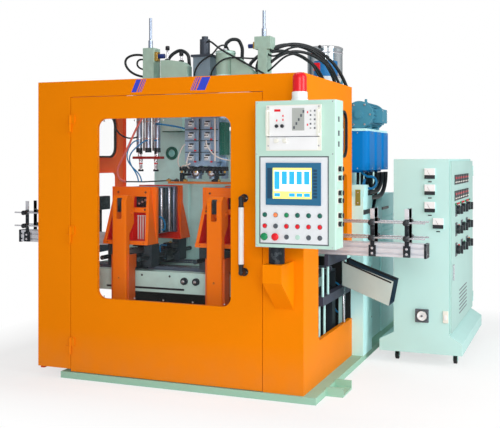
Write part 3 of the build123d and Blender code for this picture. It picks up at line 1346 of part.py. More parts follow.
for index, (cx, cy) in enumerate([(x, y) for x in CASTER_X for y in CASTER_Y]):
    save(f"caster_wheel_{index + 1}", caster_wheel(cx, cy))
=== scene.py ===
"""Looks of a shuttle blow moulding machine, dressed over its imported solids.

Lengths are in metres. +X is the operator's right, +Y runs into the machine and +Z is up.
"""

from __future__ import annotations

import logging
import math
from dataclasses import dataclass, field
from enum import Enum
from typing import Any, Iterable, Optional, Sequence, Union

import bmesh
import bpy
from mathutils import Matrix, Vector


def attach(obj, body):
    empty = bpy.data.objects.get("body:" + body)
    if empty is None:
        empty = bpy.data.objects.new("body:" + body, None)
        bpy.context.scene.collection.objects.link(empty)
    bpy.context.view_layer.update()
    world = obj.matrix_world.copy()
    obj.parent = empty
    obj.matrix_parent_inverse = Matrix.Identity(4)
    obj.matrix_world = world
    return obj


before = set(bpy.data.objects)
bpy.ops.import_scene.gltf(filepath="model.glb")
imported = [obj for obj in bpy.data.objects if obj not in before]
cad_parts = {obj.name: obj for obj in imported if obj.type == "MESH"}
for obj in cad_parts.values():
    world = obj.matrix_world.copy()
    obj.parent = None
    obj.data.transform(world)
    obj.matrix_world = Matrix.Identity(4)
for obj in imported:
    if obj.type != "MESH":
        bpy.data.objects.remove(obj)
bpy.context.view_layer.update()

log = logging.getLogger("blow_moulder")

Point = tuple[float, float, float]
Span = tuple[float, float]
Colour = tuple[float, float, float]
Number = Union[float, "Value"]

FRONT: Point = (0.0, -1.0, 0.0)
RIGHT: Point = (1.0, 0.0, 0.0)
UP: Point = (0.0, 0.0, 1.0)

def tint(red: int, green: int, blue: int) -> Colour:
    """Turn an eight-bit screen colour into the linear colour that a shader takes.

    Args:
        red: Red from 0 to 255.
        green: Green from 0 to 255.
        blue: Blue from 0 to 255.

    Returns:
        The linear colour.
    """
    def linear(level: int) -> float:
        """Undo the screen's curve for one channel."""
        share = level / 255
        return share / 12.92 if share <= 0.04045 else ((share + 0.055) / 1.055) ** 2.4

    return linear(red), linear(green), linear(blue)


def about(middle: float, reach: float) -> Span:
    """The limits at one reach on both sides of a middle."""
    return middle - reach, middle + reach


def between(one: float, other: float) -> Span:
    """Two limits, the lower one first."""
    return min(one, other), max(one, other)


def metres(points: Iterable[Sequence[float]], across: float = 0.0) -> list[Point]:
    """Points that are given in millimetres, in metres and moved across."""
    return [(x / 1000 + across, y / 1000, z / 1000) for x, y, z in points]


class Value:
    """A number that changes over a surface. Arithmetic on it adds Math nodes."""

    def __init__(self, graph: "Graph", socket: bpy.types.NodeSocket) -> None:
        """Wrap a socket of a graph."""
        self.graph = graph
        self.socket = socket

    def __add__(self, other: Number) -> "Value":
        """Sum."""
        return self.graph.maths("ADD", self, other)

    def __radd__(self, other: Number) -> "Value":
        """Sum, from the right."""
        return self.graph.maths("ADD", other, self)

    def __sub__(self, other: Number) -> "Value":
        """Difference."""
        return self.graph.maths("SUBTRACT", self, other)

    def __rsub__(self, other: Number) -> "Value":
        """Difference, from the right."""
        return self.graph.maths("SUBTRACT", other, self)

    def __mul__(self, other: Number) -> "Value":
        """Product."""
        return self.graph.maths("MULTIPLY", self, other)

    def __rmul__(self, other: Number) -> "Value":
        """Product, from the right."""
        return self.graph.maths("MULTIPLY", other, self)

    def __truediv__(self, other: Number) -> "Value":
        """Quotient."""
        return self.graph.maths("DIVIDE", self, other)

    def __gt__(self, limit: Number) -> "Value":
        """One where the value is above the limit."""
        return self.graph.maths("GREATER_THAN", self, limit)

    def __lt__(self, limit: Number) -> "Value":
        """One where the value is below the limit."""
        return self.graph.maths("LESS_THAN", self, limit)

    def __or__(self, other: Number) -> "Value":
        """The larger of two masks."""
        return self.graph.maths("MAXIMUM", self, other)

    def within(self, low: float, high: float) -> "Value":
        """One between two limits."""
        return (self > low) * (self < high)

    def wave(self, pitch: float) -> "Value":
        """A triangle wave from 0 to 1 with the given pitch."""
        return self.graph.maths("PINGPONG", self, pitch / 2) / (pitch / 2)

    def power(self, exponent: float) -> "Value":
        """The value raised to a power."""
        return self.graph.maths("POWER", self, exponent)

    def size(self) -> "Value":
        """The value without its sign."""
        return self.graph.maths("ABSOLUTE", self, 0.0)

    def held(self, low: float = 0.0, high: float = 1.0) -> "Value":
        """The value kept between two limits."""
        return self.graph.maths("MINIMUM", self.graph.maths("MAXIMUM", self, low), high)


class Graph:
    """The node tree of one material, built from expressions."""

    def __init__(self, name: str) -> None:
        """Start an empty material."""
        self.material = bpy.data.materials.new(name)
        self.material.use_nodes = True
        self.tree = self.material.node_tree
        self.tree.nodes.clear()
        self.output = self.tree.nodes.new("ShaderNodeOutputMaterial")
        self._coordinates: Optional[bpy.types.Node] = None

    def node(self, kind: str, settings: Optional[dict[str, Any]] = None,
             sockets: Optional[dict[Union[str, int], Any]] = None) -> bpy.types.Node:
        """Add a node, set it and feed its sockets.

        Args:
            kind: The node's type, without its ShaderNode prefix.
            settings: Settings by name, put on before the sockets are fed.
            sockets: Values or links by socket name or number.

        Returns:
            The node.
        """
        made = self.tree.nodes.new("ShaderNode" + kind)
        for name, setting in (settings or {}).items():
            setattr(made, name, setting)
        for key, value in (sockets or {}).items():
            if isinstance(value, Value):
                value = value.socket
            if isinstance(value, bpy.types.NodeSocket):
                self.tree.links.new(value, made.inputs[key])
            else:
                made.inputs[key].default_value = value
        return made

    def maths(self, operation: str, first: Number, second: Number) -> Value:
        """Join two numbers with a Math node."""
        made = self.node("Math", {"operation": operation}, {0: first, 1: second})
        return Value(self, made.outputs[0])

    def place(self) -> tuple[Value, Value, Value]:
        """The object coordinates, as three values."""
        parts = self.node("SeparateXYZ", None, {0: self.coordinates()})
        return tuple(Value(self, parts.outputs[index]) for index in range(3))

    def coordinates(self) -> bpy.types.NodeSocket:
        """The socket of the object coordinates."""
        if self._coordinates is None:
            self._coordinates = self.node("TexCoord")
        return self._coordinates.outputs["Object"]

    def stretched(self, scale: Point) -> bpy.types.NodeSocket:
        """Object coordinates scaled along each axis."""
        return self.node("Mapping", None, {"Vector": self.coordinates(), "Scale": scale}).outputs[0]

    def noise(self, scale: float, detail: float = 3.0, stretch: Point = (1.0, 1.0, 1.0)) -> Value:
        """Noise from 0 to 1, with the given scale to the metre."""
        made = self.node("TexNoise", None, {
            "Vector": self.stretched(stretch), "Scale": scale, "Detail": detail})
        return Value(self, made.outputs["Fac"])

    def blend(self, factor: Number, first: Any, second: Any) -> bpy.types.NodeSocket:
        """Mix two colours by a factor."""
        def full(colour: Any) -> Any:
            """Give a plain colour its alpha."""
            return (*colour, 1.0) if isinstance(colour, tuple) else colour

        made = self.node("Mix", {"data_type": "RGBA"}, {0: factor, 6: full(first), 7: full(second)})
        return made.outputs[2]

    def bump(self, height: Value, distance: float, strength: float = 1.0) -> bpy.types.NodeSocket:
        """A normal from a height."""
        made = self.node("Bump", None, {"Height": height, "Distance": distance, "Strength": strength})
        return made.outputs["Normal"]

    def shade(self, base: Any, **sockets: Any) -> bpy.types.Material:
        """Finish the material with one Principled shader.

        Args:
            base: The base colour, plain or linked.
            **sockets: Other sockets, with underscores for spaces.

        Returns:
            The material.
        """
        values: dict[Union[str, int], Any] = {"Base Color": (*base, 1.0) if isinstance(base, tuple) else base}
        for name, value in sockets.items():
            values[name.replace("_", " ").title().replace("Ior", "IOR")] = value
        shader = self.node("BsdfPrincipled", None, values)
        self.tree.links.new(shader.outputs[0], self.output.inputs[0])
        return self.material


# Finishes

DUST = tint(150, 140, 125)
DUST_TOP = 0.35
STATION_X = {"left": -0.445, "right": 0.297}
STATION_APART = STATION_X["right"] - STATION_X["left"]


@dataclass(frozen=True)
class Enamel:
    """Sprayed enamel on sheet metal, with a faint orange peel and soft dust near the floor."""

    name: str
    colour: Colour
    roughness: float = 0.34
    peel: float = 0.00012
    shift: float = 0.05
    specular: float = 0.06

    def base(self, graph: Graph) -> bpy.types.NodeSocket:
        """The colour with its slow drift."""
        darker = tuple(level * (1 - self.shift * 1.6) for level in self.colour)
        lighter = tuple(min(1.0, level * (1 + self.shift)) for level in self.colour)
        drift = graph.noise(1.3, 4.0)
        return graph.blend(drift, darker, lighter)

    def marked(self, graph: Graph, base: Any) -> Any:
        """The colour with its painted marks, where it has them."""
        return base

    def make(self) -> bpy.types.Material:
        """Build the material."""
        graph = Graph(self.name)
        height = graph.place()[2]
        dust = graph.maths("MAXIMUM", (DUST_TOP - height) * 0.5 * graph.noise(9.0, 5.0), 0.0)
        base = self.marked(graph, graph.blend(dust, self.base(graph), DUST))
        rough = self.roughness + 0.10 * graph.noise(4.0, 4.0) + dust
        peel = graph.bump(graph.noise(420.0, 2.0), self.peel)
        return graph.shade(base, roughness=rough, normal=peel, specular_ior_level=self.specular)


@dataclass(frozen=True)
class HeaderEnamel(Enamel):
    """The front sheet's enamel, with two groups of slanted stripes on the header."""

    stripe: Colour = tint(62, 78, 205)
    slope: float = 0.45
    stripes: Span = (2.008, 2.0945)
    bars: tuple[Span, ...] = ((-0.223, -0.184), (-0.176, -0.168), (-0.161, -0.155), (-0.149, -0.145),
                              (0.224, 0.228), (0.235, 0.242), (0.250, 0.260), (0.270, 0.332))

    def marked(self, graph: Graph, base: Any) -> Any:
        """The colour with the stripes over it."""
        x, y, z = graph.place()
        slant = x - (z - 2.045) * self.slope
        mask: Number = 0.0
        for low, high in self.bars:
            mask = slant.within(low, high) | mask
        return graph.blend(mask * z.within(*self.stripes) * (y < 0.001), base, self.stripe)


@dataclass(frozen=True)
class InnerShadeEnamel(Enamel):
    """The left side sheet's enamel, with painted shade: its inner face is redder, for the shade and orange
    bounce light inside the guard.
    """

    outer: float = -0.9992
    inner_shade: Colour = tint(255, 110, 58)

    def base(self, graph: Graph) -> bpy.types.NodeSocket:
        """The colour with its slow drift, with red painted shade inside the sheet."""
        return graph.blend(graph.place()[0] > self.outer, super().base(graph), self.inner_shade)


@dataclass(frozen=True)
class CastEnamel:
    """Enamel over a sand casting, with painted shade in dark red inside its pockets and orange on its front
    ribs.
    """

    name: str
    colour: Colour
    pocket_shade: Colour
    mount: float
    outward: int
    bottom: float = 0.930
    top: float = 1.345
    reach: Span = (0.165, 0.055)
    half: Span = (0.185, 0.143)

    def make(self) -> bpy.types.Material:
        """Build the material."""
        graph = Graph(self.name)
        x, y, z = graph.place()
        tall = self.top - self.bottom
        slope = (self.reach[1] - self.reach[0]) / tall
        surface = self.mount + self.outward * self.reach[0] + self.outward * slope * (z - self.bottom)
        depth = (surface - y) * self.outward
        edge = self.half[0] - 0.006 + (self.half[1] - self.half[0]) / tall * (z - self.bottom)
        across = ((x - sum(STATION_X.values()) / 2).size() - STATION_APART / 2).size()
        inside = (depth > 0.006) * (z > self.bottom + 0.002) * (across - edge < 0.0)
        foot = z < self.bottom - 0.0015
        mottle = graph.noise(7.0, 5.0)
        # Painted shade: the pockets behind the front ribs take the red shade colour.
        base = graph.blend(inside, self.colour, self.pocket_shade)
        base = graph.blend(mottle * 0.22, base, tint(150, 40, 14))
        base = graph.blend(foot, base, tint(46, 58, 66))
        return graph.shade(base, roughness=0.36 + 0.2 * mottle, specular_ior_level=0.25,
                           normal=graph.bump(graph.noise(160.0, 4.0), 0.0006))


@dataclass(frozen=True)
class Zone:
    """A box in object coordinates, and what the surface inside it looks like."""

    colour: Colour
    metallic: float = 0.0
    roughness: float = 0.4
    x: Optional[Span] = None
    y: Optional[Span] = None
    z: Optional[Span] = None

    def mask(self, place: tuple[Value, Value, Value]) -> Number:
        """One inside the box."""
        inside: Number = 1.0
        for value, limits in zip(place, (self.x, self.y, self.z)):
            if limits is not None:
                inside = value.within(*limits) * inside
        return inside


@dataclass(frozen=True)
class Zoned:
    """A node whose areas are painted or plated apart, as boxes over a ground finish."""

    name: str
    ground: Zone
    zones: tuple[Zone, ...]
    scale: float = 14.0

    def make(self) -> bpy.types.Material:
        """Build the material."""
        graph = Graph(self.name)
        place = graph.place()
        base: Any = self.ground.colour
        metallic: Number = self.ground.metallic
        rough: Number = self.ground.roughness
        for zone in self.zones:
            mask = zone.mask(place)
            base = graph.blend(mask, base, zone.colour)
            metallic = metallic + mask * (zone.metallic - metallic)
            rough = rough + mask * (zone.roughness - rough)
        cloud = graph.noise(self.scale, 5.0)
        base = graph.blend(cloud * 0.28, base, (0.04, 0.045, 0.05))
        return graph.shade(base, metallic=metallic, roughness=rough + 0.12 * cloud, specular_ior_level=0.3,
                           normal=graph.bump(graph.noise(220.0, 3.0), 0.0003))


@dataclass(frozen=True)
class Steel:
    """Bare or plated steel with drawn lines along one axis."""

    name: str
    colour: Colour
    roughness: float = 0.32
    lines: Point = (1.0, 1.0, 60.0)
    depth: float = 0.0002
    stain: Colour = (0.09, 0.08, 0.07)
    stained: float = 0.25

    def make(self) -> bpy.types.Material:
        """Build the material."""
        graph = Graph(self.name)
        drawn = graph.noise(60.0, 4.0, self.lines)
        cloud = graph.noise(6.0, 5.0)
        base = graph.blend(cloud.power(2.0) * self.stained * 2.2, self.colour, self.stain)
        rough = self.roughness + 0.16 * drawn + 0.10 * cloud - 0.08
        return graph.shade(base, metallic=0.9, roughness=rough, normal=graph.bump(drawn, self.depth))


@dataclass(frozen=True)
class ReflectionStreaked:
    """Polished sheet with painted reflections: broad dark and light streaks up its side, for the workshop
    reflected in it.
    """

    name: str
    light: Colour
    dark: Colour
    pitch: float
    offset: float

    def make(self) -> bpy.types.Material:
        """Build the material."""
        graph = Graph(self.name)
        x, y, _ = graph.place()
        wobble = graph.noise(3.0, 3.0, (1.0, 1.0, 0.3))
        # Painted reflection: slanted bands between the light and the dark colour.
        painted_reflection = (x + self.offset + 0.35 * y + 0.03 * wobble).wave(self.pitch).power(1.6)
        base = graph.blend(painted_reflection, self.light, self.dark)
        fine = graph.noise(90.0, 3.0, (1.0, 1.0, 30.0))
        return graph.shade(base, metallic=0.75, roughness=0.16 + 0.10 * fine,
                           normal=graph.bump(fine, 0.00005))


@dataclass(frozen=True)
class Machined:
    """Dark oiled machine parts: blackened castings with greasy patches and worn, brighter spots."""

    name: str
    colour: Colour
    worn: Colour
    metallic: float = 0.55

    def make(self) -> bpy.types.Material:
        """Build the material."""
        graph = Graph(self.name)
        patch = graph.noise(22.0, 6.0)
        fine = graph.noise(180.0, 3.0)
        worn = (patch > 0.56) * fine
        base = graph.blend(worn, self.colour, self.worn)
        rough = 0.28 + 0.45 * patch
        return graph.shade(base, metallic=self.metallic, roughness=rough, normal=graph.bump(fine, 0.0004))


@dataclass(frozen=True)
class Moulded:
    """Moulded plastic or rubber with a fine spark grain."""

    name: str
    colour: Colour
    roughness: float = 0.45
    grain: float = 0.0001
    specular: float = 0.4

    def make(self) -> bpy.types.Material:
        """Build the material."""
        graph = Graph(self.name)
        fine = graph.noise(700.0, 2.0)
        cloud = graph.noise(11.0, 4.0)
        base = graph.blend(cloud * 0.3, self.colour, tuple(level * 0.75 for level in self.colour))
        return graph.shade(base, roughness=self.roughness + 0.12 * cloud, specular_ior_level=self.specular,
                           normal=graph.bump(fine, self.grain))


@dataclass(frozen=True)
class ClearSheet:
    """Clear sheet in a window, with a few faint wipe marks."""

    name: str
    alpha: float = 0.008

    def make(self) -> bpy.types.Material:
        """Build the material."""
        graph = Graph(self.name)
        wipe = graph.noise(2.2, 4.0, (1.0, 1.0, 3.0))
        return graph.shade((0.35, 0.40, 0.40), roughness=0.05 + 0.08 * wipe, alpha=self.alpha + 0.01 * wipe)


@dataclass(frozen=True)
class Lit:
    """A lit face of one colour."""

    name: str
    colour: Colour
    strength: float = 0.9

    def make(self) -> bpy.types.Material:
        """Build the material."""
        graph = Graph(self.name)
        fine = graph.noise(900.0, 2.0)
        base = graph.blend(fine * 0.2, self.colour, tuple(level * 0.8 for level in self.colour))
        return graph.shade(base, roughness=0.25, emission_color=base, emission_strength=self.strength)


ORANGE = tint(242, 134, 5)
MINT = tint(190, 229, 225)
DARK_STEEL = tint(40, 52, 60)
ARM_GREY = tint(76, 76, 94)


class Finish(Enum):
    """Every finish of the machine, by what it is on."""

    GUARD = Enamel("guard_orange", ORANGE, specular=0.02)
    HEADER = HeaderEnamel("header_orange", ORANGE, specular=0.02)
    INNER_SHADED = InnerShadeEnamel("guard_orange_left_inner_shade", ORANGE, specular=0.02)
    MINT_SHEET = Enamel("mint_sheet", MINT, 0.42)
    PENDANT_SHEET = Enamel("pendant_sheet", tint(188, 221, 208), 0.40)
    DOOR_SHEET = Enamel("cabinet_door_mint", tint(174, 208, 202), 0.42)
    HOUSING = Enamel("housing_mint", tint(206, 255, 255), 0.42)
    SILL = Enamel("teal_sill", tint(160, 206, 184), 0.45)
    BED = Zoned("bed_mint", Zone(tint(216, 252, 244)), (
        Zone(DARK_STEEL, 0.3, 0.45, x=(0.826, 1.2)),
        Zone(tint(92, 102, 120), 0.4, 0.4, z=(0.7352, 0.9)),
        Zone(DARK_STEEL, 0.5, 0.35, x=(-0.036, 0.128), y=(0.2, 0.3442), z=(0.64, 0.714))))
    FRAME = Zoned("frame_mint", Zone(tint(206, 254, 250)), (
        Zone(ARM_GREY, 0.3, 0.45, z=(0.795, 0.885), y=(0.55, 1.099)),
        Zone(ARM_GREY, 0.3, 0.45, x=(0.66, 1.0), z=(0.535, 0.6005))))
    VALVE_BLUE = Enamel("valve_blue", tint(10, 124, 200), 0.30)
    MOTOR = Enamel("motor_teal", tint(77, 143, 166), 0.42, 0.0004)
    ACTUATOR = Zoned("servo_cylinder", Zone(tint(132, 154, 168)), (
        Zone(tint(70, 78, 90), 0.3, 0.4, z=(2.3048, 2.5)),))
    DECK = Zoned("deck_mint", Zone(tint(178, 210, 194)), (
        Zone(tint(22, 122, 188), z=(1.7, 2.5), y=(1.0, 3.0)),
        Zone(tint(232, 236, 238), z=(2.190, 2.300), y=(1.0, 3.0))))
    TOWER = Zoned("tower_mint", Zone(tint(168, 182, 204), 0.75, 0.28), (
        Zone(tint(176, 208, 192), x=(-0.8, 0.0), z=(2.149, 2.3905)),
        Zone(tint(176, 208, 192), x=(0.0, 0.8), z=(2.149, 2.4305))), 30.0)
    LEVER = Enamel("lever_orange", tint(252, 124, 4), 0.26, 0.0003)
    CAST_FRONT = CastEnamel("cast_front", tint(255, 122, 4), tint(238, 18, 12), 0.4398, -1)
    CAST_REAR = CastEnamel("cast_rear", tint(250, 98, 8), tint(226, 34, 14), 0.8202, 1)
    MOULD = Steel("mould_steel", tint(148, 158, 182), 0.34, (1.0, 1.0, 0.05), 0.0003, tint(44, 50, 66), 0.35)
    SILVER = Steel("turned_silver", tint(214, 214, 220), 0.22, (1.0, 1.0, 8.0), 0.0001,
                   tint(90, 92, 100), 0.2)
    HEAD = Steel("head_steel", tint(168, 198, 226), 0.42, (6.0, 1.0, 1.0), 0.0005, tint(50, 60, 74), 0.3)
    KNIFE = Zoned("knife_steel", Zone(DARK_STEEL, 0.7, 0.35), (
        Zone(tint(222, 128, 62), 0.9, 0.34, z=(1.36, 1.3843)),))
    POLISHED = Steel("polished_drum", tint(226, 230, 234), 0.12, (1.0, 1.0, 20.0), 0.00005,
                     tint(140, 150, 156), 0.1)
    DRUM = ReflectionStreaked("drum_steel", tint(226, 234, 238), tint(62, 88, 102), 0.115, 0.030)
    BARREL = Steel("barrel_steel", tint(168, 168, 164), 0.4)
    # Painted shade: the trough between the chute's walls is painted dark blue-grey.
    CHUTE = Zoned("chute_sheet", Zone(tint(204, 220, 214), 0.45, 0.34), (
        Zone(tint(40, 66, 82), 0.3, 0.4, y=(0.8665, 1.0535)),), 6.0)
    PROFILE = Zoned("anodised_profile", Zone(tint(226, 230, 238), 0.35, 0.36), ())
    CARRIAGE = Machined("carriage_dark", tint(44, 58, 66), tint(110, 118, 120))
    SADDLE = Zoned("carriage_saddle", Zone(tint(44, 56, 64), 0.5, 0.42), (
        Zone(tint(236, 104, 8), x=(-0.520, -0.370), y=(0.19, 0.312)),
        Zone(tint(236, 104, 8), x=(0.222, 0.372), y=(0.19, 0.312))), 22.0)
    BLACK_STEEL = Machined("black_steel", tint(26, 34, 42), tint(80, 88, 94))
    RUBBER = Moulded("black_rubber", tint(20, 24, 26), 0.55)
    HOSE = Moulded("hose_black", tint(22, 30, 34), 0.42, 0.0003)
    BLACK = Moulded("black_plastic", tint(30, 34, 40), 0.35)
    GREY = Moulded("grey_plastic", tint(86, 92, 100), 0.4)
    WHITE = Moulded("white_plastic", tint(240, 241, 242), 0.35)
    CREAM = Moulded("cream_plate", tint(235, 234, 224), 0.4)
    RED = Moulded("red_plastic", tint(226, 12, 32), 0.28)
    DARK_RED = Moulded("dark_red_paint", tint(158, 30, 26), 0.35)
    GREEN = Moulded("green_plastic", tint(10, 138, 84), 0.3)
    DARK_GREEN = Moulded("dark_green_plastic", tint(10, 100, 84), 0.3)
    LAMP = Moulded("orange_lens", tint(248, 140, 84), 0.25)
    BLUE_TUBE = Moulded("blue_tube", tint(20, 130, 190), 0.3)
    DARK_BLUE = Moulded("dark_blue_plastic", tint(24, 50, 120), 0.35)
    PINK_TUBE = Moulded("pink_tube", tint(232, 120, 110), 0.35)
    WIRE = Moulded("pale_wire", tint(225, 222, 218), 0.45)
    BEZEL = Moulded("screen_bezel", tint(32, 104, 142), 0.35)
    BEZEL_DEEP = Moulded("screen_recess", tint(18, 66, 96), 0.35)
    BRASS = Steel("brass_fitting", tint(206, 164, 84), 0.3)
    GLASS = ClearSheet("guard_pane")
    YELLOW_SCREEN = Lit("screen_yellow", tint(255, 238, 130), 0.45)
    WHITE_SCREEN = Lit("screen_white", tint(252, 255, 255), 0.42)
    BLUE_SCREEN = Lit("screen_blue", tint(40, 168, 236), 0.45)
    TERMINAL = Moulded("terminal_grey", tint(176, 194, 208), 0.4)
    SCOPE = Moulded("scope_grey", tint(176, 180, 176), 0.3)
    GOLD_PLATE = Zoned("bare_plate", Zone(tint(150, 152, 66), 0.3, 0.38), ())
    PANEL = Moulded("panel_white", tint(230, 234, 238), 0.4)

    def material(self) -> bpy.types.Material:
        """The finish's material, built once."""
        found = bpy.data.materials.get(self.value.name)
        return found if found is not None else self.value.make()


# Shaping


class Form:
    """A mesh in the making, shaped with bmesh operators, with one finish for each part."""

    def __init__(self) -> None:
        """Start an empty form."""
        self.mesh = bmesh.new()
        self.finishes: list[Finish] = []

    def _slot(self, finish: Finish) -> int:
        """The number of a finish's material slot."""
        if finish not in self.finishes:
            self.finishes.append(finish)
        return self.finishes.index(finish)

    def _paint(self, faces: Iterable[bmesh.types.BMFace], finish: Finish, smooth: bool) -> None:
        """Give faces their finish and shading."""
        number = self._slot(finish)
        for face in faces:
            face.material_index = number
            face.smooth = smooth

    def _rounded(self, corners: Iterable[bmesh.types.BMVert], edge: float, rims: bool = False) -> None:
        """Round the edges at some corners, or only those that border an end with many sides."""
        edges = {side for corner in corners for side in corner.link_edges
                 if not rims or any(len(face.verts) > 4 for face in side.link_faces)}
        bmesh.ops.bevel(self.mesh, geom=list(edges), offset=edge, offset_type="OFFSET", segments=2,
                        profile=0.5, affect="EDGES", material=-1, clamp_overlap=True)

    def block(self, finish: Finish, x: Span, y: Span, z: Span, edge: float = 0.0015,
              turn: Optional[Matrix] = None) -> "Form":
        """Add a block with rounded edges.

        Args:
            finish: Its finish.
            x: Its limits along X.
            y: Its limits along Y.
            z: Its limits along Z.
            edge: Radius of its edges.
            turn: A further placement.

        Returns:
            The form.
        """
        size = Matrix.Diagonal((x[1] - x[0], y[1] - y[0], z[1] - z[0], 1.0))
        centre = Matrix.Translation(((x[0] + x[1]) / 2, (y[0] + y[1]) / 2, (z[0] + z[1]) / 2))
        place = (turn or Matrix.Identity(4)) @ centre @ size
        before = set(self.mesh.faces)
        made = bmesh.ops.create_cube(self.mesh, size=1.0, matrix=place)
        if edge > 0:
            self._rounded(made["verts"], edge)
        self._paint([face for face in self.mesh.faces if face not in before], finish, False)
        return self

    def rod(self, finish: Finish, start: Point, end: Point, radius: float, sides: int = 24,
            edge: float = 0.0) -> "Form":
        """Add a rod between two points.

        Args:
            finish: Its finish.
            start: The middle of its first end.
            end: The middle of its last end.
            radius: Its radius.
            sides: Faces round it.
            edge: Radius of its end edges.

        Returns:
            The form.
        """
        first, last = Vector(start), Vector(end)
        along = last - first
        turn = along.to_track_quat("Z", "Y").to_matrix().to_4x4()
        place = Matrix.Translation((first + last) / 2) @ turn
        before = set(self.mesh.faces)
        made = bmesh.ops.create_cone(self.mesh, cap_ends=True, segments=sides, radius1=radius,
                                     radius2=radius, depth=along.length, matrix=place)
        if edge > 0:
            self._rounded(made["verts"], edge, True)
        fresh = [face for face in self.mesh.faces if face not in before]
        self._paint(fresh, finish, False)
        for face in fresh:
            face.smooth = len(face.verts) == 4
        return self

    def post(self, finish: Finish, x: float, y: float, z: Span, radius: float, sides: int = 24,
             edge: float = 0.0) -> "Form":
        """Add an upright rod between two heights."""
        return self.rod(finish, (x, y, z[0]), (x, y, z[1]), radius, sides, edge)

    def screw(self, at: Point, out: Point) -> "Form":
        """Add a small round-headed screw."""
        side = [(0.0, 0.0), (0.006, 0.0), (0.005, 0.003), (0.0, 0.004)]
        return self.turned(Finish.SILVER, at, side, out, 14)

    def turned(self, finish: Finish, centre: Point, profile: Sequence[Span], axis: Point = (0.0, 0.0, 1.0),
               steps: int = 40) -> "Form":
        """Add a shape of revolution.

        Args:
            finish: Its finish.
            centre: A point on its axis.
            profile: Radius and height of each point along its side.
            axis: The direction of its heights.
            steps: Steps round it.

        Returns:
            The form.
        """
        before = set(self.mesh.faces)
        corners = [self.mesh.verts.new((radius, 0.0, height)) for radius, height in profile]
        edges = [self.mesh.edges.new(pair) for pair in zip(corners, corners[1:])]
        bmesh.ops.spin(self.mesh, geom=corners + edges, cent=(0, 0, 0), axis=(0, 0, 1), dvec=(0, 0, 0),
                       angle=math.tau, steps=steps, use_merge=True)
        fresh = [face for face in self.mesh.faces if face not in before]
        points = list({corner for face in fresh for corner in face.verts})
        bmesh.ops.remove_doubles(self.mesh, verts=points, dist=1e-6)
        fresh = [face for face in self.mesh.faces if face not in before]
        bmesh.ops.recalc_face_normals(self.mesh, faces=fresh)
        points = list({corner for face in fresh for corner in face.verts})
        turn = Vector(axis).to_track_quat("Z", "Y").to_matrix().to_4x4()
        bmesh.ops.transform(self.mesh, matrix=Matrix.Translation(centre) @ turn, verts=points)
        self._paint(fresh, finish, True)
        return self

    def knob(self, finish: Finish, at: Point, out: Point, radius: float, height: float) -> "Form":
        """Add a round knob with a soft rim, standing on a face.

        Args:
            finish: Its finish.
            at: The middle of its foot.
            out: The way it stands.
            radius: Its radius.
            height: Its height.

        Returns:
            The form.
        """
        side = [(0.0, 0.0), (radius, 0.0), (radius, height * 0.72), (radius * 0.93, height * 0.9),
                (radius * 0.8, height), (0.0, height)]
        return self.turned(finish, at, side, out, 24)

    def bolt(self, finish: Finish, at: Point, out: Point, radius: float = 0.009) -> "Form":
        """Add a hexagon bolt head on its washer."""
        way = Vector(out).normalized()
        foot = Vector(at)
        self.rod(finish, foot, foot + way * radius * 0.25, radius * 1.25, 20)
        return self.rod(finish, foot + way * radius * 0.25, foot + way * radius * 0.95, radius, 6,
                        radius * 0.12)

    def finish_as(self, name: str, body: str) -> bpy.types.Object:
        """Close the mesh, make its object and let it ride on a body.

        Args:
            name: The object's name.
            body: The CAD body that it moves with.

        Returns:
            The object.
        """
        data = bpy.data.meshes.new(name)
        self.mesh.to_mesh(data)
        self.mesh.free()
        for finish in self.finishes:
            data.materials.append(finish.material())
        made = bpy.data.objects.new(name, data)
        bpy.context.scene.collection.objects.link(made)
        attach(made, body)
        log.info("%s rides on %s, %d faces", name, body, len(data.polygons))
        return made


@dataclass
class Tube:
    """A bent tube or wire along a smooth line, held at both ends."""

    name: str
    points: Sequence[Point]
    radius: float
    finish: Finish
    body: str = "machine"

    def make(self) -> bpy.types.Object:
        """Build the tube as a mesh from a curve with a round bevel."""
        curve = bpy.data.curves.new(self.name, "CURVE")
        curve.dimensions = "3D"
        curve.bevel_depth = self.radius
        curve.bevel_resolution = 3
        curve.resolution_u = 6
        curve.use_fill_caps = True
        line = curve.splines.new("NURBS")
        line.points.add(len(self.points) - 1)
        for place, point in zip(line.points, self.points):
            place.co = (*point, 1.0)
        line.order_u = 4
        line.use_endpoint_u = True
        holder = bpy.data.objects.new(self.name + "_line", curve)
        bpy.context.scene.collection.objects.link(holder)
        bpy.context.view_layer.update()
        shape = holder.evaluated_get(bpy.context.evaluated_depsgraph_get())
        data = bpy.data.meshes.new_from_object(shape)
        bpy.data.objects.remove(holder)
        data.name = self.name
        data.materials.clear()
        data.materials.append(self.finish.material())
        for face in data.polygons:
            face.use_smooth = True
        made = bpy.data.objects.new(self.name, data)
        bpy.context.scene.collection.objects.link(made)
        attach(made, self.body)
        return made


def dress(finish: Finish, *nodes: str) -> None:
    """Give CAD nodes a finish.

    Args:
        finish: The finish.
        *nodes: Names of CAD nodes.
    """
    for node in nodes:
        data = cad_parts[node].data
        if not data.materials:
            data.materials.append(None)
        for index in range(len(data.materials)):
            data.materials[index] = finish.material()
        log.info("%s wears %s", node, finish.value.name)


